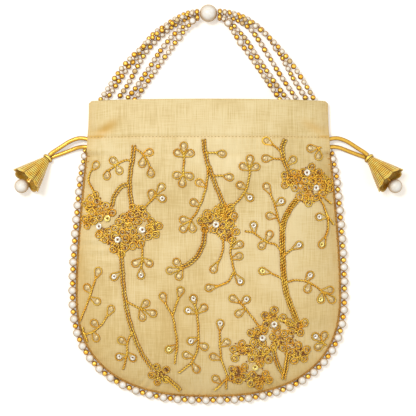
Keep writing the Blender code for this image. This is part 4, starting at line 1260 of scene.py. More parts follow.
VINES = (
    Vine(
        "left_vine",
        stems=(
            (Width.DOUBLE, ((-51.8, 31.5), (-52.5, 40), (-54, 49), (-54.8, 58), (-54.3, 66), (-53, 75))),
            (Width.STEM, ((-51.5, 33.5), (-47, 36.5), (-42.6, 42), (-40.4, 47.4))),
            (Width.STEM, ((-53, 42.8), (-58, 42), (-64, 45), (-70.4, 49.6))),
            (Width.DOUBLE, ((-55, 58.5), (-60, 60), (-65, 66), (-67.4, 74))),
            (Width.STEM, ((-80.6, 47.6), (-83.4, 52), (-83.8, 56), (-81.5, 61), (-78, 67))),
            (Width.STEM, ((-46, 76), (-40, 70.5), (-36, 65.6))),
            (Width.DOUBLE, ((-61.6, 101), (-60.2, 114), (-59, 130), (-57, 144), (-54.5, 155), (-51, 166),
                      (-46, 177), (-38.6, 187.5))),
            (Width.STEM, ((-48.4, 97), (-45.9, 105), (-46.6, 117.4))),
            (Width.STEM, ((-57.5, 139.5), (-51, 143.4), (-43.6, 146.4))),
            (Width.STEM, ((-52.5, 161), (-56, 167.6), (-57, 178), (-59.6, 188))),
            (Width.DOUBLE, ((-30, 193), (-23.6, 198.5), (-19.6, 203))),
        ),
        leaves=(
            (-41, 36.6, -45.6, 38), (-46, 44.2, -45.2, 39.4), (-40, 51.2, -40.4, 46.6),
            (-66.4, 42.2, -63, 44.6), (-62, 49.2, -64.4, 45.4), (-70.8, 52.8, -70, 48.6),
            (-78.6, 45, -81, 48.6), (-39.6, 65.2, -40.2, 70), (-32.6, 60.6, -36.4, 65.8),
            (-50.6, 113.6, -46, 110), (-41.2, 113.6, -45.8, 110), (-43.4, 141.4, -47, 144.6),
            (-38.6, 148.4, -44.2, 146.2), (-46, 151, -47.6, 145.4), (-60.6, 167.4, -56.2, 170.4),
        ),
        white_leaves=(
            (-32, 68.6, -37, 67.4), (-65.6, 123, -60.6, 119.6), (-46.8, 121.8, -46.6, 116.6),
            (-62.2, 179, -57, 178), (-52.8, 179.6, -56.6, 176),
        ),
        petals=(
            (-79.1, 66.1), (-82.6, 68.6), (-77.9, 70.5), (-86.4, 72.4), (-82.9, 73.5), (-81.5, 78.1),
            (-71.3, 73.8), (-76.2, 77.3), (-67.2, 78.5), (-86.8, 82.6), (-80.3, 84.2), (-85.2, 87.9),
            (-75.8, 81.8), (-52.5, 74.8), (-46, 75.7), (-53.8, 80.2), (-43.6, 80.2), (-48.9, 84.6),
            (-59.1, 81.4), (-62.3, 84.8), (-65.2, 89.5), (-56.2, 84.2), (-55, 87.9), (-39.9, 84.2),
            (-34.2, 87.5), (-36.6, 93.6), (-41.8, 94.9), (-76.6, 93.6), (-72.1, 97.1), (-69.7, 91.6),
            (-66.4, 104.2), (-58.3, 103), (-52.5, 101.5), (-47.2, 100.2), (-57.4, 96.5), (-52.1, 91.6),
            (-60.7, 107.1), (-48.9, 95.7), (-59.9, 92.4), (-65.2, 94.9), (-41.1, 89.1),
        ),
        knots=(
            (-82.8, 75.3), (-71.3, 79.3), (-58.3, 87.5), (-48.9, 79.3), (-38.3, 89.1), (-53.4, 96.5),
            (-68.1, 97.3), (-83.6, 83.8), (-62.8, 102.2), (-73.8, 92.4),
        ),
        blossoms=((-34, 191.5),),
        cups=((-76.5, 88), (-45.9, 90.3), (-63.1, 97.3)),
        yellow_cups=((-70.5, 82.5),),
    ),
    Vine(
        "left_edge_sprig",
        stems=((Width.STEM, ((-90, 154.6), (-87, 148), (-83, 138), (-80.4, 130), (-78, 122.6))),),
        leaves=((-76.8, 119.4, -78.6, 124.4), (-84.8, 131, -81.6, 135), (-77.8, 140.4, -83, 137.6)),
    ),
    Vine(
        "left_lower_sprig",
        stems=(
            (Width.STEM, ((-87.6, 158.6), (-86.4, 163.6), (-79, 160.6), (-73.4, 155), (-69.6, 149))),
            (Width.STEM, ((-86.6, 162.6), (-84.6, 169))),
        ),
        leaves=((-67.8, 145.6, -70.2, 150.4), (-79.8, 155.6, -76.6, 158.6), (-78.6, 166, -81, 161.4)),
    ),
    Vine(
        "left_bud",
        stems=((Width.STEM, ((-17, 36), (-17.2, 45), (-17.7, 53))),),
        leaves=(
            (-17, 32.2, -17, 37.2), (-21.4, 37, -17.2, 39.6), (-12.6, 37.2, -16.8, 39.4),
            (-22, 52.4, -17.6, 51.8), (-13, 53.2, -17.2, 51), (-18.2, 58, -17.8, 52.4),
        ),
    ),
    Vine(
        "centre_vine",
        stems=(
            (Width.DOUBLE, ((-3.4, 27.5), (-2.4, 36), (0.2, 48))),
            (Width.STEM, ((-0.4, 46), (-1.2, 58), (-4, 68.6), (-8.4, 78.2), (-12.8, 84.4))),
            (Width.DOUBLE, ((0.2, 46), (4.4, 58), (8.4, 67.6), (12, 77))),
            (Width.STEM, ((-2.4, 36.6), (6.6, 37))),
            (Width.STEM, ((2.6, 52.6), (11, 53))),
            (Width.STEM, ((28.5, 45.6), (28.4, 52), (26, 62.4), (20, 70.6), (13.4, 76.4))),
            (Width.DOUBLE, ((-2.2, 89), (-4, 101), (-10, 111), (-20, 117.4))),
            (Width.STEM, ((10.5, 96), (9.6, 106), (6, 114))),
            (Width.STEM, ((16.6, 96), (15.3, 106), (18.4, 121.4))),
            (Width.STEM, ((17.6, 119.6), (13, 126.6), (4.4, 130))),
        ),
        leaves=(
            (-6.4, 57.6, -1.4, 60.6), (-10.2, 71.4, -5.6, 73.6), (-17.4, 83.4, -11.8, 83.6),
            (-17.4, 89.6, -12.2, 84), (-11, 89.4, -12.4, 83.6), (9.6, 37.6, 5.4, 37),
            (14.6, 53.8, 10, 53), (28.8, 41.2, 28.5, 46.8), (24, 46.4, 28.4, 49), (33, 46.6, 28.4, 49),
            (22, 59.4, 26.6, 61.6), (-22, 112.8, -18.6, 117), (-26.6, 118.6, -19, 117.2),
            (-20.4, 122.6, -18, 116.6), (3.6, 117.6, 6.4, 112.6), (21.6, 100.4, 16, 103.4),
            (21.2, 108.6, 15.6, 110.6), (0.4, 130.6, 6, 129.4),
        ),
        white_leaves=((28.8, 68, 24.6, 64.6), (22, 126, 18, 120.4)),
        petals=(
            (-1.1, 79), (5.7, 77.1), (-5.6, 84.4), (-2.5, 89.9), (4.1, 89.9), (1.6, 81.4), (9, 74.4),
            (15.5, 74.9), (17.7, 80.9), (13.9, 78.4), (6.3, 80.9), (10.6, 82.8), (15, 84.4), (8.4, 91),
            (15, 87.2), (19.3, 91.8), (16.3, 97.8), (10.6, 95.3), (9.8, 87.2),
        ),
        knots=(
            (-1.4, 84.4), (13.9, 91.8), (11.7, 80.1), (9.5, 77.4),
        ),
        cups=((5.2, 86.7),),
    ),
    Vine(
        "lower_left_sprig",
        stems=(
            (Width.STEM, ((-25, 148.6), (-23, 160), (-21.8, 170), (-23.6, 183.4))),
            (Width.STEM, ((-25, 150), (-30.4, 140.6))),
            (Width.STEM, ((-25, 150), (-20.6, 136.6))),
        ),
        leaves=((-31.6, 136.6, -29.8, 141.6), (-19.4, 132.6, -20.8, 137.6)),
        yellow_leaves=((-27.4, 173.4, -21.8, 170.4),),
    ),
    Vine(
        "lower_middle_sprig",
        stems=(
            (Width.STEM, ((-9.4, 141.6), (-7.9, 150), (-7, 162), (-7.7, 173), (-12, 182.6), (-20.8, 190))),
        ),
        leaves=(
            (-3.2, 144.4, -8.2, 148.4), (-2.8, 171.6, -7.4, 169.4), (-15.4, 177.4, -9.8, 179),
            (-8.4, 187.4, -11.6, 182.4),
        ),
        white_leaves=(
            (-10.4, 138, -9.2, 142.6), (-14, 146.4, -8.6, 148.4), (-12.2, 167.6, -7.2, 165.4),
        ),
    ),
    Vine(
        "bottom_sprig",
        stems=(
            (Width.STEM, ((8, 159.4), (7.9, 170), (9.2, 181), (12.6, 191), (12.2, 201.6))),
            (Width.STEM, ((12.8, 194), (4.4, 202.6))),
        ),
        leaves=((12.6, 168.6, 8, 171.4), (3.4, 178.6, 8.8, 180.6), (5, 194.4, 9, 198)),
        white_leaves=((8.2, 155.4, 8, 160.6),),
    ),
    Vine(
        "right_vine",
        stems=(
            (Width.STEM, ((43.8, 30.4), (47.4, 33.4), (51, 37.6))),
            (Width.DOUBLE, ((53.2, 27.4), (51.2, 33), (52.2, 41.6), (56.4, 51))),
            (Width.STEM, ((44, 40.6), (52.4, 41.6))),
            (Width.TRUNK, ((62, 68.6), (55.6, 77.4), (51.6, 88), (51.4, 104), (52.2, 122), (54.4, 135.6),
                     (61.4, 154))),
            (Width.STEM, ((42.8, 64.8), (46, 73), (48.2, 82), (51, 91))),
            (Width.STEM, ((25.4, 91.4), (31, 92.4), (40, 98.6), (46.4, 100.6), (51, 106))),
            (Width.STEM, ((58.6, 103.4), (51.6, 108.6))),
            (Width.STEM, ((42.4, 119.8), (52.4, 125))),
            (Width.STEM, ((52.6, 127), (62, 125.4), (71, 127.6), (81.6, 135.4))),
            (Width.STEM, ((76.4, 67), (80.4, 74), (83.4, 84), (83, 91), (81, 96.6))),
            (Width.STEM, ((82.2, 79.6), (87.4, 87))),
            (Width.STEM, ((80, 67), (85.8, 72.6))),
            (Width.STEM, ((21, 139.6), (27, 146.6), (38, 161))),
            (Width.STEM, ((48, 152), (59, 156.6))),
            (Width.STEM, ((37, 178), (43, 173.6))),
            (Width.DOUBLE, ((45, 173), (48, 184), (52.4, 191))),
            (Width.DOUBLE, ((55.4, 176), (54, 186), (52.2, 195))),
        ),
        leaves=(
            (40.2, 28.6, 44.8, 31.4), (39.8, 40.8, 45, 40.6), (58.8, 41.6, 54.2, 45.6),
            (40.4, 60.4, 43.4, 66), (42.6, 80.6, 47.8, 81.6), (42.4, 93.6, 40, 98.8),
            (37, 101.4, 40.2, 98), (69, 131.6, 70.4, 127), (84.8, 132.6, 78.6, 132.8),
            (86.2, 139.4, 80.8, 134.6), (17, 138, 22, 141), (21, 148.4, 25.6, 145.4),
        ),
        white_leaves=(
            (50.6, 70.6, 46, 73.6), (31.4, 87.2, 32, 93), (63, 101, 57.8, 104),
            (70.8, 122, 67.4, 126.8), (77.4, 81.4, 82.8, 81.6), (26.4, 138.6, 22.6, 142),
        ),
        yellow_leaves=((37.6, 119, 43.2, 120.2), (78.4, 139, 79.2, 134), (79.2, 100.6, 81.6, 95.4)),
        petals=(
            (53, 52.6), (59.5, 50.6), (53, 59.1), (60.2, 61), (56.4, 56.7), (63, 55.1), (66.4, 50.4),
            (72, 46.7), (77.1, 50.4), (72.9, 52), (81, 54.2), (67.6, 56), (77, 56), (84.5, 56.8),
            (85.4, 61.6), (79.4, 60.1), (80.1, 65.1), (67, 61.9), (63.3, 67.2), (70.7, 60.4),
            (69.8, 71.6), (75.2, 67.9), (67.6, 68.5), (72.6, 57.3), (45.7, 146.1), (39.2, 149.6),
            (51.6, 151.5), (39.9, 156.2), (47.3, 157.9), (55.8, 154.6), (67.1, 155.1), (64.1, 162.1),
            (58.1, 161.1), (45.1, 164.9), (52.6, 162.6), (56.4, 167.6), (52.1, 172.8), (45.2, 172.3),
            (62.8, 170.8), (68.9, 174.2), (67.1, 180.8), (59.9, 181.9), (57.2, 175.5), (29.2, 162.1),
            (38.7, 160.6), (31.3, 168.6), (37.6, 169.2), (33.9, 160.6), (23.2, 169.7), (17.4, 173.3),
            (18.4, 179.8), (27.6, 174), (32.8, 175.5), (39.9, 174.4), (41.9, 180.8), (36, 184.1),
            (30.2, 179.9), (21, 195.8), (16.6, 187.8), (25.3, 185.8), (24.8, 192.6), (16.1, 193.7),
            (29.6, 198), (39.8, 191.1), (42.4, 195.8), (35.7, 200.2), (30.8, 191.6),
        ),
        knots=(
            (58.3, 55.4), (70.1, 66.3), (82.6, 58.5), (74.5, 54.2), (64.5, 52.3), (44.5, 152.4),
            (61.5, 157.3), (49.5, 167.2), (62.5, 176), (36, 179.2), (20.7, 189.3), (35.7, 195.4),
            (23.4, 174.1), (33.9, 164.5),
        ),
        cups=((75.2, 61.2), (45.6, 156), (68.7, 50.5), (37.5, 165.5)),
        yellow_cups=((32.5, 186.2),),
    ),
    Vine(
        "right_upper_sprig",
        stems=((Width.STEM, ((75.4, 33.2), (78.6, 32.9))), (Width.STEM, ((77, 32.6), (77.2, 35.4)))),
        leaves=((71.2, 33.6, 76.4, 33.2), (76.8, 39, 77.2, 34.6)),
    ),
    Vine(
        "right_lower_sprig",
        stems=((Width.STEM, ((78.6, 168), (82.6, 171.4))),),
        leaves=((81.2, 164.4, 79.6, 169.2), (76.8, 172.4, 81.4, 170.4)),
        white_leaves=((74.8, 165, 79.6, 168.8),),
    ),
)


@dataclass
class Embroidery:
    """Zari vines, blossoms, leaf hearts and cup sequins on the front."""

    shape: PouchShape
    wardrobe: Wardrobe
    stem_ply: float = 0.00043
    side_ply: float = 0.92
    stem_pitch: float = 0.0040
    stem_wave: float = 0.00012
    leaf_ply: float = 0.0003
    leaf_pitch: float = 0.0019
    leaf_radius: float = 0.0025
    leaf_points: int = 9
    leaf_opening: float = math.radians(42)
    heart_share: float = 0.74
    heart_squash: float = 0.34
    leaf_cup_share: float = 0.78
    petal_reach: float = 0.0056
    petal_points: int = 15
    petal_narrow: float = 0.86
    petal_radius: float = 0.0025
    petal_thread: float = 0.00062
    cup_radius: float = 0.0022
    cup_rise: float = 0.0014
    cup_profile: tuple[Place, ...] = (
        (0.0, 0.30), (0.00012, 0.62), (0.00042, 1.0), (0.00052, 0.96), (0.00026, 0.60), (0.00014, 0.30))
    speck_radius: float = 0.0006
    fill_tries: int = 16
    knot_rings: tuple[tuple[int, float], ...] = ((1, 0.0), (6, 0.0012), (11, 0.0023), (15, 0.0033))
    knot_height: float = 0.0009
    knot_slope: float = 0.18
    sink: float = 0.00015
    rope_top: float = 3.4
    petal_top: float = 0.00108
    # painted shade on the thread's sides and on its low points
    side_shade: float = 0.3
    deep_shade: float = 0.95
    luck: random.Random = field(default_factory=lambda: random.Random(7))

    def stem(self, kind: Width, drawn: Sequence[Place]) -> list[Tube]:
        """The ropes of one stem.

        Args:
            kind: Which ropes lie side by side.
            drawn: The stem's points, in millimetres.

        Returns:
            The plies of its ropes.
        """
        ply = self.stem_ply if kind is Width.STEM else self.stem_ply * self.side_ply
        line = smooth_line([Vector(point) * MM for point in drawn], self.stem_pitch / 8)
        tubes = []
        for offset in kind.value:
            moved = []
            for index, here in enumerate(line):
                ahead = line[min(index + 1, len(line) - 1)]
                flow = (ahead - line[max(index - 1, 0)]).normalized()
                wave = self.stem_wave * math.sin(index * 0.35 + offset * 3)
                moved.append(here + Vector((-flow.y, flow.x)) * (offset * MM + wave))
            tubes += rope(self.shape, moved, self.stem_pitch, ply, self.sink, self.luck.random() * 6)
        return tubes

    def leaf(self, piece: Piece, drawn: Leaf, heart: Finish) -> list[Tube]:
        """A loop of thin rope round a stone or a sequin.

        Args:
            piece: The piece that the heart goes to.
            drawn: Its middle and its base, in millimetres.
            heart: Finish of its stone, or of its cup.

        Returns:
            The plies of its rope.
        """
        middle, base = Vector(drawn[:2]) * MM, Vector(drawn[2:]) * MM
        back = math.atan2(base.y - middle.y, base.x - middle.x)
        loop = [base]
        for step in range(self.leaf_points):
            turn = (math.tau - 2 * self.leaf_opening) * step / (self.leaf_points - 1)
            angle = back + self.leaf_opening + turn
            reach = self.leaf_radius * (1.0 + 0.1 * abs(math.cos(angle - back)))
            loop.append(middle + ray(angle) * reach)
        line = smooth_line(loop, self.leaf_pitch / 5, True)
        if heart is Finish.HEART:
            normal = self.shape.normal(*middle)
            centre = self.shape.front(*middle) + normal * 0.00005
            piece.add_ball(centre, self.leaf_radius * self.heart_share, heart, 2, self.heart_squash, normal)
        else:
            self.cup(piece, middle, heart, 0.0004, self.leaf_cup_share)
        return rope(self.shape, line, self.leaf_pitch, self.leaf_ply, self.sink, closed=True)

    def petal(self, piece: Piece, middle: Vector, radius: float, reach_angle: float = 0.0) -> Tube:
        """A crinkled loop of gilt thread round a dark knot.

        Args:
            piece: The piece that its knot goes to.
            middle: Middle of the loop, across and down.
            radius: Its radius.
            reach_angle: Direction in which it is longer.

        Returns:
            The loop.
        """
        points, radii = [], []
        for step in range(self.petal_points):
            angle = math.tau * step / self.petal_points
            offset = Vector((math.cos(angle), self.petal_narrow * math.sin(angle))) * radius
            offset.rotate(Matrix.Rotation(reach_angle, 2))
            lift = 0.0005 + 0.00016 * (step % 2) + self.luck.uniform(-0.0001, 0.00016)
            points.append(self.shape.front(*(middle + offset), lift))
            radii.append(self.petal_thread * (1.15 if step % 2 else 0.8))
        for step in range(5):
            angle = math.tau * (step + self.luck.random()) / 5
            offset = ray(angle) * radius * self.luck.uniform(0.15, 0.45)
            self.speck(piece, middle + offset, self.luck.uniform(0.0002, 0.0008))
        return Tube(points, radii, True)

    def speck(self, piece: Piece, middle: Vector, rise: float) -> None:
        """A tiny gilt bead, bright or tarnished as chance has it."""
        recess = self.luck.choice((0.0, 0.0, 0.3, 0.9, 1.0))
        piece.add_ball(self.shape.front(*middle, rise), self.speck_radius, Finish.ZARI, 1, recess=recess)

    def fill(self, piece: Piece, vine: Vine) -> None:
        """Scatter specks between neighbouring petals, so that a cluster closes.

        Args:
            piece: The piece that they go to.
            vine: The group's drawing.
        """
        petals = [Vector(spot) * MM for spot in vine.petals + vine.knots]
        cups = [Vector(spot) * MM for spot in vine.cups + vine.yellow_cups]
        for middle in petals:
            for _ in range(self.fill_tries):
                angle = self.luck.uniform(0, math.tau)
                reach = self.luck.uniform(1.0, 2.0) * self.petal_radius
                spot = middle + ray(angle) * reach
                near = sorted((spot - other).length for other in petals)[:2]
                clear = all((spot - cup).length > 1.3 * self.cup_radius for cup in cups)
                if clear and near[0] > 0.95 * self.petal_radius and near[1] < 1.75 * self.petal_radius:
                    self.speck(piece, spot, 0.0005)

    def knot(self, piece: Piece, middle: Vector) -> None:
        """Tiny gilt beads in the middle of a blossom.

        Args:
            piece: The piece that they go to.
            middle: Middle of the blossom, across and down.
        """
        for count, reach in self.knot_rings:
            start = self.luck.uniform(0, math.tau)
            for step in range(count):
                angle = start + math.tau * step / count
                rise = self.knot_height - self.knot_slope * reach + self.luck.uniform(-0.0004, 0.0003)
                self.speck(piece, middle + ray(angle) * reach, rise)

    def blossom(self, piece: Piece, middle: Vector) -> list[Tube]:
        """A blossom of five crinkled petals round a few gilt beads.

        Args:
            piece: The piece that its beads go to.
            middle: Its middle, across and down.

        Returns:
            Its petals.
        """
        start = self.luck.uniform(0, math.tau)
        petals = []
        for step in range(5):
            angle = start + math.tau * step / 5 + self.luck.uniform(-0.12, 0.12)
            place = middle + ray(angle) * self.petal_reach
            petals.append(self.petal(piece, place, self.petal_radius, angle))
        self.knot(piece, middle)
        return petals

    def cup(self, piece: Piece, middle: Vector, finish: Finish, rise: float, share: float = 1.0) -> None:
        """A cup sequin with a hole and the bead that holds it, fully dark as painted shade of the hole.

        Args:
            piece: The piece that it goes to.
            middle: Its middle, across and down.
            finish: Its finish.
            rise: Height of its underside over the cloth.
            share: Its size as a share of the usual one.
        """
        normal = self.shape.normal(*middle)
        radius = self.cup_radius * share
        foot = self.shape.front(*middle, rise)
        profile = [(along, reach * radius) for along, reach in self.cup_profile]
        piece.add_turned(profile, 16, piece.turned(foot, Vector((1, 0, 0)), normal), finish)
        # painted shade: the holding bead takes the full dark tone where the hole's shade falls
        piece.add_ball(foot, radius * 0.3, Finish.ZARI, 1, recess=1.0)

    def shade_low_thread(self, piece: Piece, known: int, top: float) -> None:
        """Paint shade on the thread that lies deep between its neighbours and on its sides.

        Args:
            piece: The piece.
            known: Number of its points before the thread was added.
            top: Height of the thread's top over the cloth.
        """
        piece.bm.normal_update()
        piece.bm.verts.ensure_lookup_table()
        layer = piece.bm.verts.layers.float["recess"]
        for vert in piece.bm.verts[known:]:
            x, y, z = vert.co
            height = (z - self.shape.front(x, self.shape.mouth_y - y).z) / top
            side = 1 - smoothstep(0.0, 0.7, vert.normal.z)
            deep = 1 - smoothstep(0.55, 1.0, height)
            # painted shade: low and side-facing points of the thread get the dark tone
            vert[layer] = min(1.0, self.side_shade * side + self.deep_shade * deep)

    def build(self, vine: Vine) -> None:
        """Build one group.

        Args:
            vine: Its drawing.
        """
        piece = Piece(self.wardrobe, f"zari_{vine.name}")
        stems: list[Tube] = []
        loops: list[Tube] = []
        for kind, drawn in vine.stems:
            stems += self.stem(kind, drawn)
        for leaves, heart in ((vine.leaves, Finish.HEART), (vine.white_leaves, Finish.WHITE_CUP),
                              (vine.yellow_leaves, Finish.YELLOW_CUP)):
            for leaf in leaves:
                loops += self.leaf(piece, leaf, heart)
        petals = [self.petal(piece, Vector(place) * MM, self.petal_radius * self.luck.uniform(0.92, 1.08),
                             self.luck.uniform(0, 3)) for place in vine.petals]
        for place in vine.blossoms:
            petals += self.blossom(piece, Vector(place) * MM)
        for place in vine.knots:
            self.knot(piece, Vector(place) * MM)
        if vine.petals:
            self.fill(piece, vine)
        # each kind of thread gets painted shade on its sides and low points
        for tubes, sides, top in ((stems, 1, self.stem_ply * self.rope_top),
                                  (loops, 1, self.leaf_ply * self.rope_top), (petals, 0, self.petal_top)):
            known = len(piece.bm.verts)
            piece.add_tubes(tubes, Finish.ZARI, sides)
            self.shade_low_thread(piece, known, top)
        for places, finish in ((vine.cups, Finish.WHITE_CUP), (vine.yellow_cups, Finish.YELLOW_CUP)):
            for place in places:
                self.cup(piece, Vector(place) * MM, finish, self.cup_rise)
        piece.done("zari", f"embroidery_{vine.name}")


# Bead edging and handle


@dataclass
class BeadEdging:
    """Pearls and gilt beads in turn along the sewn edge."""

    shape: PouchShape
    wardrobe: Wardrobe
    pearl: float = 0.006
    gilt: float = 0.004
    start_depth: float = 0.0335
    height: float = 0.0032
    thread: float = 0.00035
    hold_radius: float = 0.00036
    hold_length: float = 0.0042
    binding: float = 0.0006
    binding_height: float = 0.0028
    slim: float = 0.2
    slim_start: float = 0.040
    slim_end: float = 0.075
    slim_gain: float = 0.005
    tuck: float = 0.0019
    tuck_length: float = 0.022
    fineness: float = 0.00025

    def along_edge(self, offset: float, height: float) -> list[Vector]:
        """A line beside the sewn edge, tucked in where the beads begin.

        Args:
            offset: Distance outside the edge.
            height: Height over the table.

        Returns:
            The line's points.
        """
        line = []
        for point in edge_outline(self.shape, self.start_depth, offset):
            full = smoothstep(self.start_depth, self.start_depth + self.tuck_length, point.y)
            across = point.x - math.copysign(self.tuck * (1 - full), point.x)
            line.append(Vector((across, self.shape.mouth_y - point.y, height)))
        return line

    def hold(self, holds: list[Tube], centre: Vector) -> None:
        """Add the stitch that holds one bead to the sewn edge.

        Args:
            holds: The stitches so far.
            centre: The bead's centre.
        """
        depth = self.shape.mouth_y - centre.y
        inward = Vector((-centre.x, 0.6 * max(depth - self.shape.belly_depth, 0.0), 0)).normalized()
        start = centre + inward * self.gilt / 4
        sewn = centre + inward * self.hold_length
        end = self.shape.front(sewn.x, self.shape.mouth_y - sewn.y, 0.0)
        middle = start.lerp(end, 0.5) + Vector((0, 0, self.hold_radius))
        holds.append(Tube.even([start, middle, end], self.hold_radius))

    def build(self) -> None:
        """Build the pearls, the gilt beads and their thread."""
        line = self.along_edge(self.pearl / 2 + self.shape.clearance, self.height)
        route = Route(line, self.fineness)
        count = round((route.length + 2 * self.slim_gain - self.gilt) / (self.pearl + self.gilt))
        reach = 0.0
        holds: list[Tube] = []
        pearls = Piece(self.wardrobe, "edge_pearls")
        gilts = Piece(self.wardrobe, "edge_gilt_beads")
        for index in range(2 * count + 1):
            pearly = index % 2 == 1
            full = smoothstep(self.slim_start, self.slim_end, self.shape.mouth_y - route.at(reach).y)
            size = (self.pearl if pearly else self.gilt) * (1 - self.slim * (1 - full))
            centre = route.at(reach + size / 2)
            self.hold(holds, centre)
            if pearly:
                pearls.add_ball(centre, size / 2, Finish.PEARL, 4)
            else:
                gilts.add_ball(centre, size / 2, Finish.GILT, 3)
            reach += size
        gilts.add_tubes([Tube.even(line, self.thread)], Finish.CORE)
        holds.append(Tube.even(self.along_edge(self.binding, self.binding_height), self.binding))
        # painted shade on the beads' undersides, so they show darker rims from above
        pearls.age(0.4, 1.0, 0.9)
        gilts.age(0.35, 0.95)
        gilts.add_tubes(holds, Finish.PIPING, 0)
        pearls.done("pearl_and_gold_beads", "edge_beading")
        gilts.done("pearl_and_gold_beads", "edge_beading")


LEFT_STRANDS = (
    ((-6.5, 62.3, 8.4), (-14.6, 60.4, 7.0), (-22.3, 56.4, 5.8), (-30.4, 50.8, 5.6), (-37.1, 46.3, 5.6),
     (-45.1, 38.5, 5.8), (-54.0, 30.5, 5.6), (-62.0, 21.4, 5.0), (-68.7, 11.4, 4.5), (-75.6, 1.0, 4.4)),
    ((-6.5, 63.3, 5.3), (-14.9, 61.8, 3.4), (-23.2, 58.0, 2.2), (-31.4, 52.4, 2.1), (-38.4, 47.4, 2.1),
     (-45.4, 39.1, 2.0), (-51.4, 29.6, 2.0), (-56.4, 24.3, 2.1), (-60.3, 18.2, 2.1), (-64.9, 11.4, 2.1),
     (-71.6, 1.0, 2.3)),
    ((-6.4, 60.6, 3.3), (-14.2, 58.2, 2.0), (-21.0, 54.8, 2.0), (-28.0, 50.4, 2.0), (-33.3, 45.9, 2.0),
     (-39.8, 39.5, 2.0), (-45.2, 32.6, 2.1), (-49.6, 24.9, 2.1), (-53.6, 17.6, 2.1), (-58.0, 9.6, 2.1),
     (-64.2, 1.0, 2.3)),
    ((-6.4, 58.0, 5.3), (-13.2, 55.4, 2.7), (-19.4, 50.9, 2.2), (-25.6, 45.6, 2.1), (-32.3, 37.4, 2.1),
     (-37.1, 30.5, 2.1), (-41.4, 23.7, 2.1), (-46.2, 16.6, 2.1), (-51.6, 8.6, 2.1), (-57.9, 1.0, 2.3)),
    ((-6.4, 59.0, 8.5), (-11.1, 55.9, 7.0), (-14.8, 51.4, 4.4), (-21.6, 43.6, 2.3), (-27.4, 35.3, 2.1),
     (-33.3, 27.6, 2.1), (-38.6, 19.6, 2.1), (-44.0, 12.1, 2.1), (-51.9, 1.0, 2.3)),
)
RIGHT_STRANDS = (
    ((6.5, 62.3, 8.4), (16.1, 61.0, 7.0), (24.4, 57.6, 5.8), (32.7, 52.5, 5.6), (41.5, 45.4, 5.6),
     (48.2, 38.6, 5.7), (56.6, 28.4, 5.6), (63.5, 18.7, 5.1), (69.9, 8.5, 4.6), (74.2, 1.0, 4.5)),
    ((6.5, 63.3, 5.3), (16.6, 62.2, 3.4), (25.4, 59.0, 2.2), (33.4, 53.6, 2.1), (41.0, 46.6, 2.0),
     (47.2, 38.0, 2.0), (51.4, 31.6, 2.0), (55.6, 23.7, 2.1), (60.4, 14.6, 2.1), (69.0, 1.0, 2.3)),
    ((6.4, 60.6, 3.3), (15.6, 58.6, 2.0), (23.2, 55.2, 2.0), (29.6, 50.6, 2.0), (35.0, 43.4, 2.0),
     (40.0, 35.4, 2.1), (45.2, 27.0, 2.1), (51.6, 16.6, 2.1), (62.2, 1.0, 2.3)),
    ((6.4, 58.0, 5.3), (14.4, 55.8, 2.7), (20.6, 50.2, 2.2), (26.6, 43.0, 2.1), (33.0, 32.9, 2.1),
     (40.6, 21.9, 2.1), (46.6, 12.9, 2.1), (55.6, 1.0, 2.3)),
    ((6.4, 59.0, 8.5), (12.0, 56.2, 7.0), (16.2, 50.6, 4.4), (20.6, 43.9, 2.3), (25.9, 36.4, 2.1),
     (31.8, 28.1, 2.1), (38.1, 18.8, 2.1), (43.9, 10.2, 2.1), (50.5, 1.0, 2.3)),
)


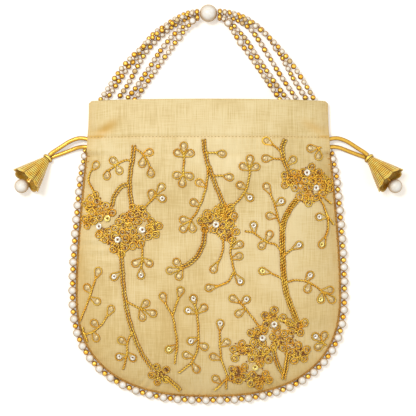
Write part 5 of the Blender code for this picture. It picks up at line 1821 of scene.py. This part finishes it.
@dataclass
class BeadHandle:
    """Ten strands of small beads and the pearl that gathers them."""

    shape: PouchShape
    wardrobe: Wardrobe
    rise: float = 0.0613
    pearl: float = 0.0123
    strand_pearl: float = 0.0039
    strand_gilt: float = 0.0038
    big_pearl: float = 0.0052
    gap: float = 0.04
    outer_gap: float = 0.14
    champagne_share: float = 0.16
    twin_share: float = 0.26
    repeat_share: float = 0.12
    big_room: float = 2.6
    bore: float = 0.0012
    slim_length: float = 0.030
    slim_share: float = 0.84
    thread: float = 0.0004
    overrun: float = 0.0006
    fineness: float = 0.0001
    pearl_steps: int = 40
    big_places: tuple[Place, ...] = ((-11.3, 56.4), (-22, 44.5), (13.2, 56.4), (21.8, 44.2), (48, 38.2))
    luck: random.Random = field(default_factory=lambda: random.Random(11))

    def strand(self, name: str, drawn: Sequence[Spot]) -> None:
        """One strand.

        Args:
            name: The strand's side and number.
            drawn: Its route: across, rise above the mouth and height, in millimetres.
        """
        piece = Piece(self.wardrobe, f"bead_strand_{name}")
        points = [Vector((x * MM, self.shape.mouth_y + up * MM, z * MM)) for x, up, z in drawn]
        route = Route(points, self.fineness)
        gap = self.outer_gap if name.endswith("1") else self.gap
        reach, pearly, before = 0.0, False, 0.0
        while True:
            kind = Finish.STRAND_PEARL if pearly else Finish.GILT
            if pearly and self.luck.random() < self.champagne_share:
                kind = Finish.CHAMPAGNE
            full = self.slim_share + (1 - self.slim_share) * smoothstep(0, self.slim_length, reach)
            size = self.strand_pearl if pearly else self.strand_gilt
            size *= self.luck.uniform(0.93, 1.07) * full
            centre = route.at(reach + (before + size) / 2)
            place = Vector((centre.x, centre.y - self.shape.mouth_y)) / MM
            if pearly and min((place - Vector(big)).length for big in self.big_places) < self.big_room:
                size, kind = self.big_pearl, Finish.PEARL
            reach += (before + size) / 2 * (1 + gap) if before else size / 2
            if reach > route.length + self.overrun:
                break
            centre = route.at(reach)
            centre.z = max(centre.z, size / 2)
            piece.add_ball(centre, size / 2, kind, 3)
            before = size
            pearly = not pearly or self.luck.random() < self.repeat_share
            if self.luck.random() < self.twin_share:
                pearly = False
        # painted shade on the beads' undersides, so they show darker rims from above
        piece.age()
        piece.add_tubes([Tube.even(route.points[::12], self.thread)], Finish.CORE, 0)
        piece.done("pearl_and_gold_beads", f"handle_strand_{name}")

    def build(self) -> None:
        """Build the strands and the handle pearl."""
        for side, strands in (("left", LEFT_STRANDS), ("right", RIGHT_STRANDS)):
            for index, drawn in enumerate(strands, start=1):
                self.strand(f"{side}_{index}", drawn)
        piece = Piece(self.wardrobe, "gathering_pearl")
        radius = self.pearl / 2
        centre = Vector((0, self.shape.mouth_y + self.rise, radius + self.shape.clearance / 2))
        start = math.asin(self.bore / radius)
        profile = []
        for step in range(self.pearl_steps + 1):
            angle = start + (math.pi - 2 * start) * step / self.pearl_steps
            profile.append((-radius * math.cos(angle), radius * math.sin(angle)))
        piece.add_turned(profile, 64, Matrix.Translation(centre), Finish.PEARL)
        # painted shade on the pearl's underside and rim
        piece.age(0.25, 0.95, 0.9)
        piece.done("pearl", "handle_pearl")


# Drawstrings and bells

UPPER_LEG = (
    (-82.0, 27.3, 4.75), (-84.0, 27.1, 4.7), (-88.0, 26.3, 4.5), (-92.0, 26.5, 4.5),
    (-97.7, 28.7, 4.6), (-104.4, 33.0, 4.7), (-109.6, 36.3, 4.1), (-111.9, 38.3, 4.3),
)
LOWER_LEG = (
    (-82.0, 32.8, 4.9), (-84.0, 32.6, 4.9), (-88.0, 32.3, 4.2), (-92.3, 32.9, 2.6),
    (-99.0, 35.4, 1.7), (-105.7, 37.9, 1.65), (-108.6, 38.9, 1.65), (-110.8, 39.9, 1.65),
)


@dataclass
class BellTassel:
    """A bell, its collar, its pearl and the two free legs of the drawstring that carries it."""

    shape: PouchShape
    wardrobe: Wardrobe
    side: int
    length: float = 0.0209
    mouth: float = 0.0220
    neck: float = 0.0056
    wall: float = 0.0008
    bore: float = 0.0018
    petals: int = 8
    petal_swell: float = 0.0006
    petal_tongue: float = 0.0012
    tilt: float = math.radians(20.5)
    heading: Place = (-0.676, -0.737)
    neck_place: Place = (-113.9, 41.4)
    collar: float = 0.0063
    collar_length: float = 0.0026
    collar_bore: float = 0.0012
    collar_oval: float = 1.2
    pearl: float = 0.010
    pearl_reach: float = 0.0046
    cord: float = 0.003
    ring_pitch: float = 0.0015
    ring_rise: float = 0.0002
    rib_rise: float = 0.00016
    seam_sink: float = 0.0003
    inside_shade: float = 0.55
    outside_steps: int = 112
    inside_steps: int = 24
    collar_steps: int = 16

    @property
    def word(self) -> str:
        """Name of the side."""
        return "left" if self.side < 0 else "right"

    def frame(self) -> Matrix:
        """Place of the bell: its X axis runs from the neck out through the mouth.

        Returns:
            The matrix.
        """
        flat = Vector((-self.side * self.heading[0], self.heading[1], 0)).normalized()
        axis = flat * math.cos(self.tilt) + Vector((0, 0, math.sin(self.tilt)))
        across = Vector((-flat.y, flat.x, 0))
        rotation = Matrix((axis, across, axis.cross(across))).transposed().to_4x4()
        half_angle = math.atan((self.mouth - self.neck) / 2 / self.length)
        clearance = self.shape.clearance
        height = self.neck / 2 / math.cos(half_angle) + self.petal_swell / 2 + 1.2 * clearance
        across_neck, depth = self.neck_place
        centre = Vector((-self.side * across_neck * MM, self.shape.mouth_y - depth * MM, height))
        return Matrix.Translation(centre) @ rotation

    def relief(self, point: Vector) -> tuple[Vector, float]:
        """Swell a point of the bell's wall into petals, rings and a rolled rim.

        Args:
            point: The point on the plain cone.

        Returns:
            The moved point and its painted shade.
        """
        share = min(max(point.x / self.length, 0.0), 1.0)
        angle = math.atan2(point.z, point.y)
        radius = max(math.hypot(point.y, point.z), 1e-6)
        wave = abs(math.cos(self.petals / 2 * angle))
        plain = self.neck / 2 + (self.mouth - self.neck) / 2 * share
        outer = radius > plain - self.wall * 0.45
        swell = self.petal_swell * (wave - 0.5) * share
        tongue = self.petal_tongue * (wave - 0.5) * share ** 3
        # painted shade inside the bell
        recess = self.inside_shade
        if outer:
            ring = 0.5 + 0.5 * math.cos(math.tau * point.x / self.ring_pitch)
            rib = math.exp(-((1 - wave) / 0.012) ** 2) * smoothstep(0.2, 0.5, share)
            seam = math.exp(-(wave / 0.22) ** 2) * smoothstep(0.3, 0.7, share)
            rim = smoothstep(0.94, 1.0, share)
            swell += self.ring_rise * (ring * (1 - rim) + rim) + self.rib_rise * rib - self.seam_sink * seam
            # painted shade in the ring grooves and in the seams between petals
            recess = min(1.0, 0.95 * (1 - ring) ** 1.5 * (1 - rim) + 0.5 * seam)
        scale = (radius + swell) / radius
        return Vector((point.x + tongue, point.y * scale, point.z * scale)), recess

    def bell(self) -> bpy.types.Object:
        """The scalloped bell.

        Returns:
            The object.
        """
        piece = Piece(self.wardrobe, f"bell_{self.word}")
        neck, mouth, wall = self.neck / 2, self.mouth / 2, self.wall
        steps = self.outside_steps
        profile = [(0.0, self.bore / 2), (0.0, neck * 0.8)]
        profile += [(self.length * step / steps, neck + (mouth - neck) * step / steps)
                    for step in range(steps + 1)]
        inner = neck - wall * 0.7
        for step in range(self.inside_steps, -1, -1):
            share = step / self.inside_steps
            profile.append((wall + (self.length - wall) * share, inner + (mouth - wall - inner) * share))
        profile.append((wall, self.bore / 2))
        piece.add_turned(profile, 96, self.frame(), Finish.BELL_GILT, self.relief)
        # painted shade on the bell's underside
        piece.age(0.0, 0.5, 0.6)
        return piece.done("antique_gold", f"tassel_bell_{self.word}")

    def ring(self) -> bpy.types.Object:
        """The collar, a rounded ring with painted shade in a groove beside the bell and a near-black ring
        of painted shadow between them.

        Returns:
            The object.
        """
        piece = Piece(self.wardrobe, f"bell_collar_{self.word}")
        outer, half = self.collar / 2, self.collar_length / 2
        centre = -half - self.shape.clearance
        profile = []
        for step in range(self.collar_steps + 1):
            angle = math.pi * step / self.collar_steps
            round_edge = half * 0.9 * (math.sin(angle) - 1)
            profile.append((centre - half * math.cos(angle), outer + round_edge))
        profile += [(centre + half, self.collar_bore), (centre - half, self.collar_bore)]
        # painted shade on the collar's edge next to the bell
        piece.add_turned(profile, 48, self.frame(), Finish.BELL_GILT,
                         lambda point: self.widened(point, hump(point.x, centre + half, 0.0006)))
        # painted shade on the collar's underside
        piece.age(0.3, 0.95)
        # a near-black ring of painted shadow fills the gap between collar and bell
        seat = outer - half * 0.5
        binding = ((centre + half * 0.8, self.collar_bore), (centre + half * 0.8, seat), (0, seat),
                   (0, self.collar_bore))
        piece.add_turned(binding, 48, self.frame(), Finish.SHADOW_RING,
                         lambda point: self.widened(point, 1.0))
        return piece.done("antique_gold", f"tassel_collar_{self.word}")

    def widened(self, point: Vector, recess: float) -> tuple[Vector, float]:
        """A point of the oval collar, with its painted shade."""
        return Vector((point.x, point.y * self.collar_oval, point.z)), recess

    def drop(self) -> bpy.types.Object:
        """The pearl in the bell's mouth.

        Returns:
            The object.
        """
        piece = Piece(self.wardrobe, f"bell_pearl_{self.word}")
        frame = self.frame()
        low_rim = frame @ Vector((self.length, 0, -self.mouth / 2 + self.wall))
        ahead = Vector((frame[0][0], frame[1][0], 0)).normalized()
        reach = self.pearl_reach - self.mouth / 2 * math.sin(self.tilt) + self.petal_tongue
        centre = low_rim + ahead * reach
        lift = self.pearl / 2 + 4 * self.shape.clearance
        centre.z = low_rim.z + math.sqrt(max(lift ** 2 - (centre - low_rim).to_2d().length ** 2, 0))
        piece.add_ball(centre, self.pearl / 2, Finish.PEARL, 5)
        # painted shade on the pearl's underside and rim
        piece.age(0.25, 0.95, 0.85)
        return piece.done("pearl", f"tassel_pearl_{self.word}")

    def leg(self, which: str, drawn: Sequence[Spot]) -> None:
        """One free leg of the drawstring.

        Args:
            which: Name of the leg.
            drawn: Its route: across, depth and height, in millimetres.
        """
        points = [Vector((-self.side * x * MM, self.shape.mouth_y - depth * MM, z * MM))
                  for x, depth, z in drawn]
        route = smooth_line(points, self.cord / 3)
        piece = Piece(self.wardrobe, f"cord_leg_{self.word}_{which}")
        piece.add_tubes([Tube.even(route, self.cord / 2)], Finish.CORD, 6)
        # painted shade on the leg's underside and edges
        piece.age(0.3, 0.95)
        made = piece.done("satin_cord", f"cord_{self.word}_{which}")
        length = length_of(route)
        LOG.info("%s: %.1f mm long", made.name, length / MM)

    def build(self) -> None:
        """Build the tassel."""
        bell, ring, drop = self.bell(), self.ring(), self.drop()
        self.leg("upper", UPPER_LEG)
        self.leg("lower", LOWER_LEG)


# Nodes that are shown as they are, and the studio


@dataclass(frozen=True)
class CarriedNodes:
    """Finishes of the nodes whose own shape is right."""

    finishes: tuple[tuple[str, Finish], ...] = (
        ("drawstring_left", Finish.CORD), ("drawstring_right", Finish.CORD),
        ("handle_thread", Finish.CORE), ("tassel_pin_left", Finish.GILT),
        ("tassel_pin_right", Finish.GILT),
    )

    def dress(self, wardrobe: Wardrobe, nodes: dict[str, bpy.types.Object]) -> None:
        """Give each node its finish.

        Args:
            wardrobe: Where the finishes come from.
            nodes: The frame's nodes, by name.
        """
        for name, finish in self.finishes:
            node = nodes[name]
            node.data.materials.clear()
            node.data.materials.append(wardrobe.get(finish))
            LOG.info("%s: dressed", name)


@dataclass(frozen=True)
class Lamp:
    """A soft square lamp that points at the bag."""

    name: str
    place: Spot
    side: float
    power: float
    warmth: Spot

    def build(self) -> None:
        """Hang the lamp."""
        light = bpy.data.lights.new(self.name, "AREA")
        light.size = self.side
        light.energy = self.power
        light.color = self.warmth
        made = bpy.data.objects.new(self.name, light)
        made.location = self.place
        made.rotation_euler = (-Vector(self.place)).to_track_quat("-Z", "Y").to_euler()
        bpy.context.collection.objects.link(made)


@dataclass
class Studio:
    """Pale floor, soft light and the camera straight above."""

    centre: Place = (-0.0003, -0.0023)
    lens: float = 135.0
    sensor: float = 36.0
    object_height: float = 0.008
    floor_size: float = 6.0
    floor_gap: float = 0.0002
    floor_colour: Colour = (0.88, 0.845, 0.785, 1.0)
    floor_glow: Colour = (0.46, 0.435, 0.395, 1.0)
    sky: float = 0.36
    sky_colour: Colour = (1.0, 0.995, 0.985, 1.0)
    lamps: tuple[Lamp, ...] = (
        Lamp("key", (-0.38, 0.36, 1.05), 0.34, 8.0, (1.0, 0.985, 0.96)),
        Lamp("fill", (0.8, -0.2, 0.9), 0.8, 2.5, (1.0, 0.99, 0.98)),
    )

    def floor(self) -> None:
        """The floor, whose shadows are kept and whose lit part shows white."""
        bm = bmesh.new()
        bmesh.ops.create_grid(bm, x_segments=1, y_segments=1, size=self.floor_size / 2)
        mesh = bpy.data.meshes.new("floor")
        bm.to_mesh(mesh)
        bm.free()
        paint = Paint("pale_floor")
        light_path = paint.node("ShaderNodeLightPath")
        camera, glossy, through = (Value(paint, light_path.outputs[name]) for name in (
            "Is Camera Ray", "Is Glossy Ray", "Is Transmission Ray"))
        seen = camera.math("MAXIMUM", glossy).math("MAXIMUM", through)
        glow = paint.mix(seen, (0, 0, 0, 1), self.floor_glow)
        paint.finish(Base_Color=self.floor_colour, Roughness=0.9, Emission_Color=glow,
                     Emission_Strength=1.0, Specular_IOR_Level=0.0)
        mesh.materials.append(paint.material)
        made = bpy.data.objects.new("floor", mesh)
        made.location.z = -self.floor_gap
        bpy.context.collection.objects.link(made)

    def world(self) -> None:
        """Soft light from all round, shown as white."""
        world = bpy.data.worlds.new("studio")
        bpy.context.scene.world = world
        world.use_nodes = True
        tree = world.node_tree
        back = tree.nodes["Background"]
        light_path = tree.nodes.new("ShaderNodeLightPath")
        shown = light_path.outputs["Is Camera Ray"]
        for other in ("Is Glossy Ray", "Is Transmission Ray"):
            most = tree.nodes.new("ShaderNodeMath")
            most.operation = "MAXIMUM"
            tree.links.new(shown, most.inputs[0])
            tree.links.new(light_path.outputs[other], most.inputs[1])
            shown = most.outputs[0]
        level = tree.nodes.new("ShaderNodeMapRange")
        level.inputs["To Min"].default_value = self.sky
        level.inputs["To Max"].default_value = 1.0
        tree.links.new(shown, level.inputs["Value"])
        tree.links.new(level.outputs[0], back.inputs["Strength"])
        back.inputs["Color"].default_value = self.sky_colour

    def camera(self) -> None:
        """The camera, whose frame is as wide as the photograph's."""
        data = bpy.data.cameras.new("camera")
        data.lens = self.lens
        data.sensor_width = self.sensor
        data.clip_end = 20.0
        made = bpy.data.objects.new("camera", data)
        across = IMAGE_PIXELS * METRES_PER_PIXEL
        distance = across * self.lens / self.sensor
        made.location = (*self.centre, self.object_height + distance)
        bpy.context.collection.objects.link(made)
        bpy.context.scene.camera = made

    def build(self) -> None:
        """Build the studio."""
        self.floor()
        self.world()
        for lamp in self.lamps:
            lamp.build()
        bpy.context.scene.view_settings.view_transform = "Standard"
        self.camera()


def main() -> None:
    """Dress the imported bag."""
    logging.basicConfig(level=logging.INFO, format="%(name)s %(message)s")
    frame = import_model()
    wardrobe = Wardrobe()
    shape = PouchShape()
    Studio().build()
    for side in (-1, 1):
        BellTassel(shape, wardrobe, side).build()
    SilkPouch(shape, wardrobe).build()
    embroidery = Embroidery(shape, wardrobe)
    for vine in VINES:
        embroidery.build(vine)
    BeadEdging(shape, wardrobe).build()
    BeadHandle(shape, wardrobe).build()
    CarriedNodes().dress(wardrobe, frame["nodes"])


if __name__ == "__main__":
    main()
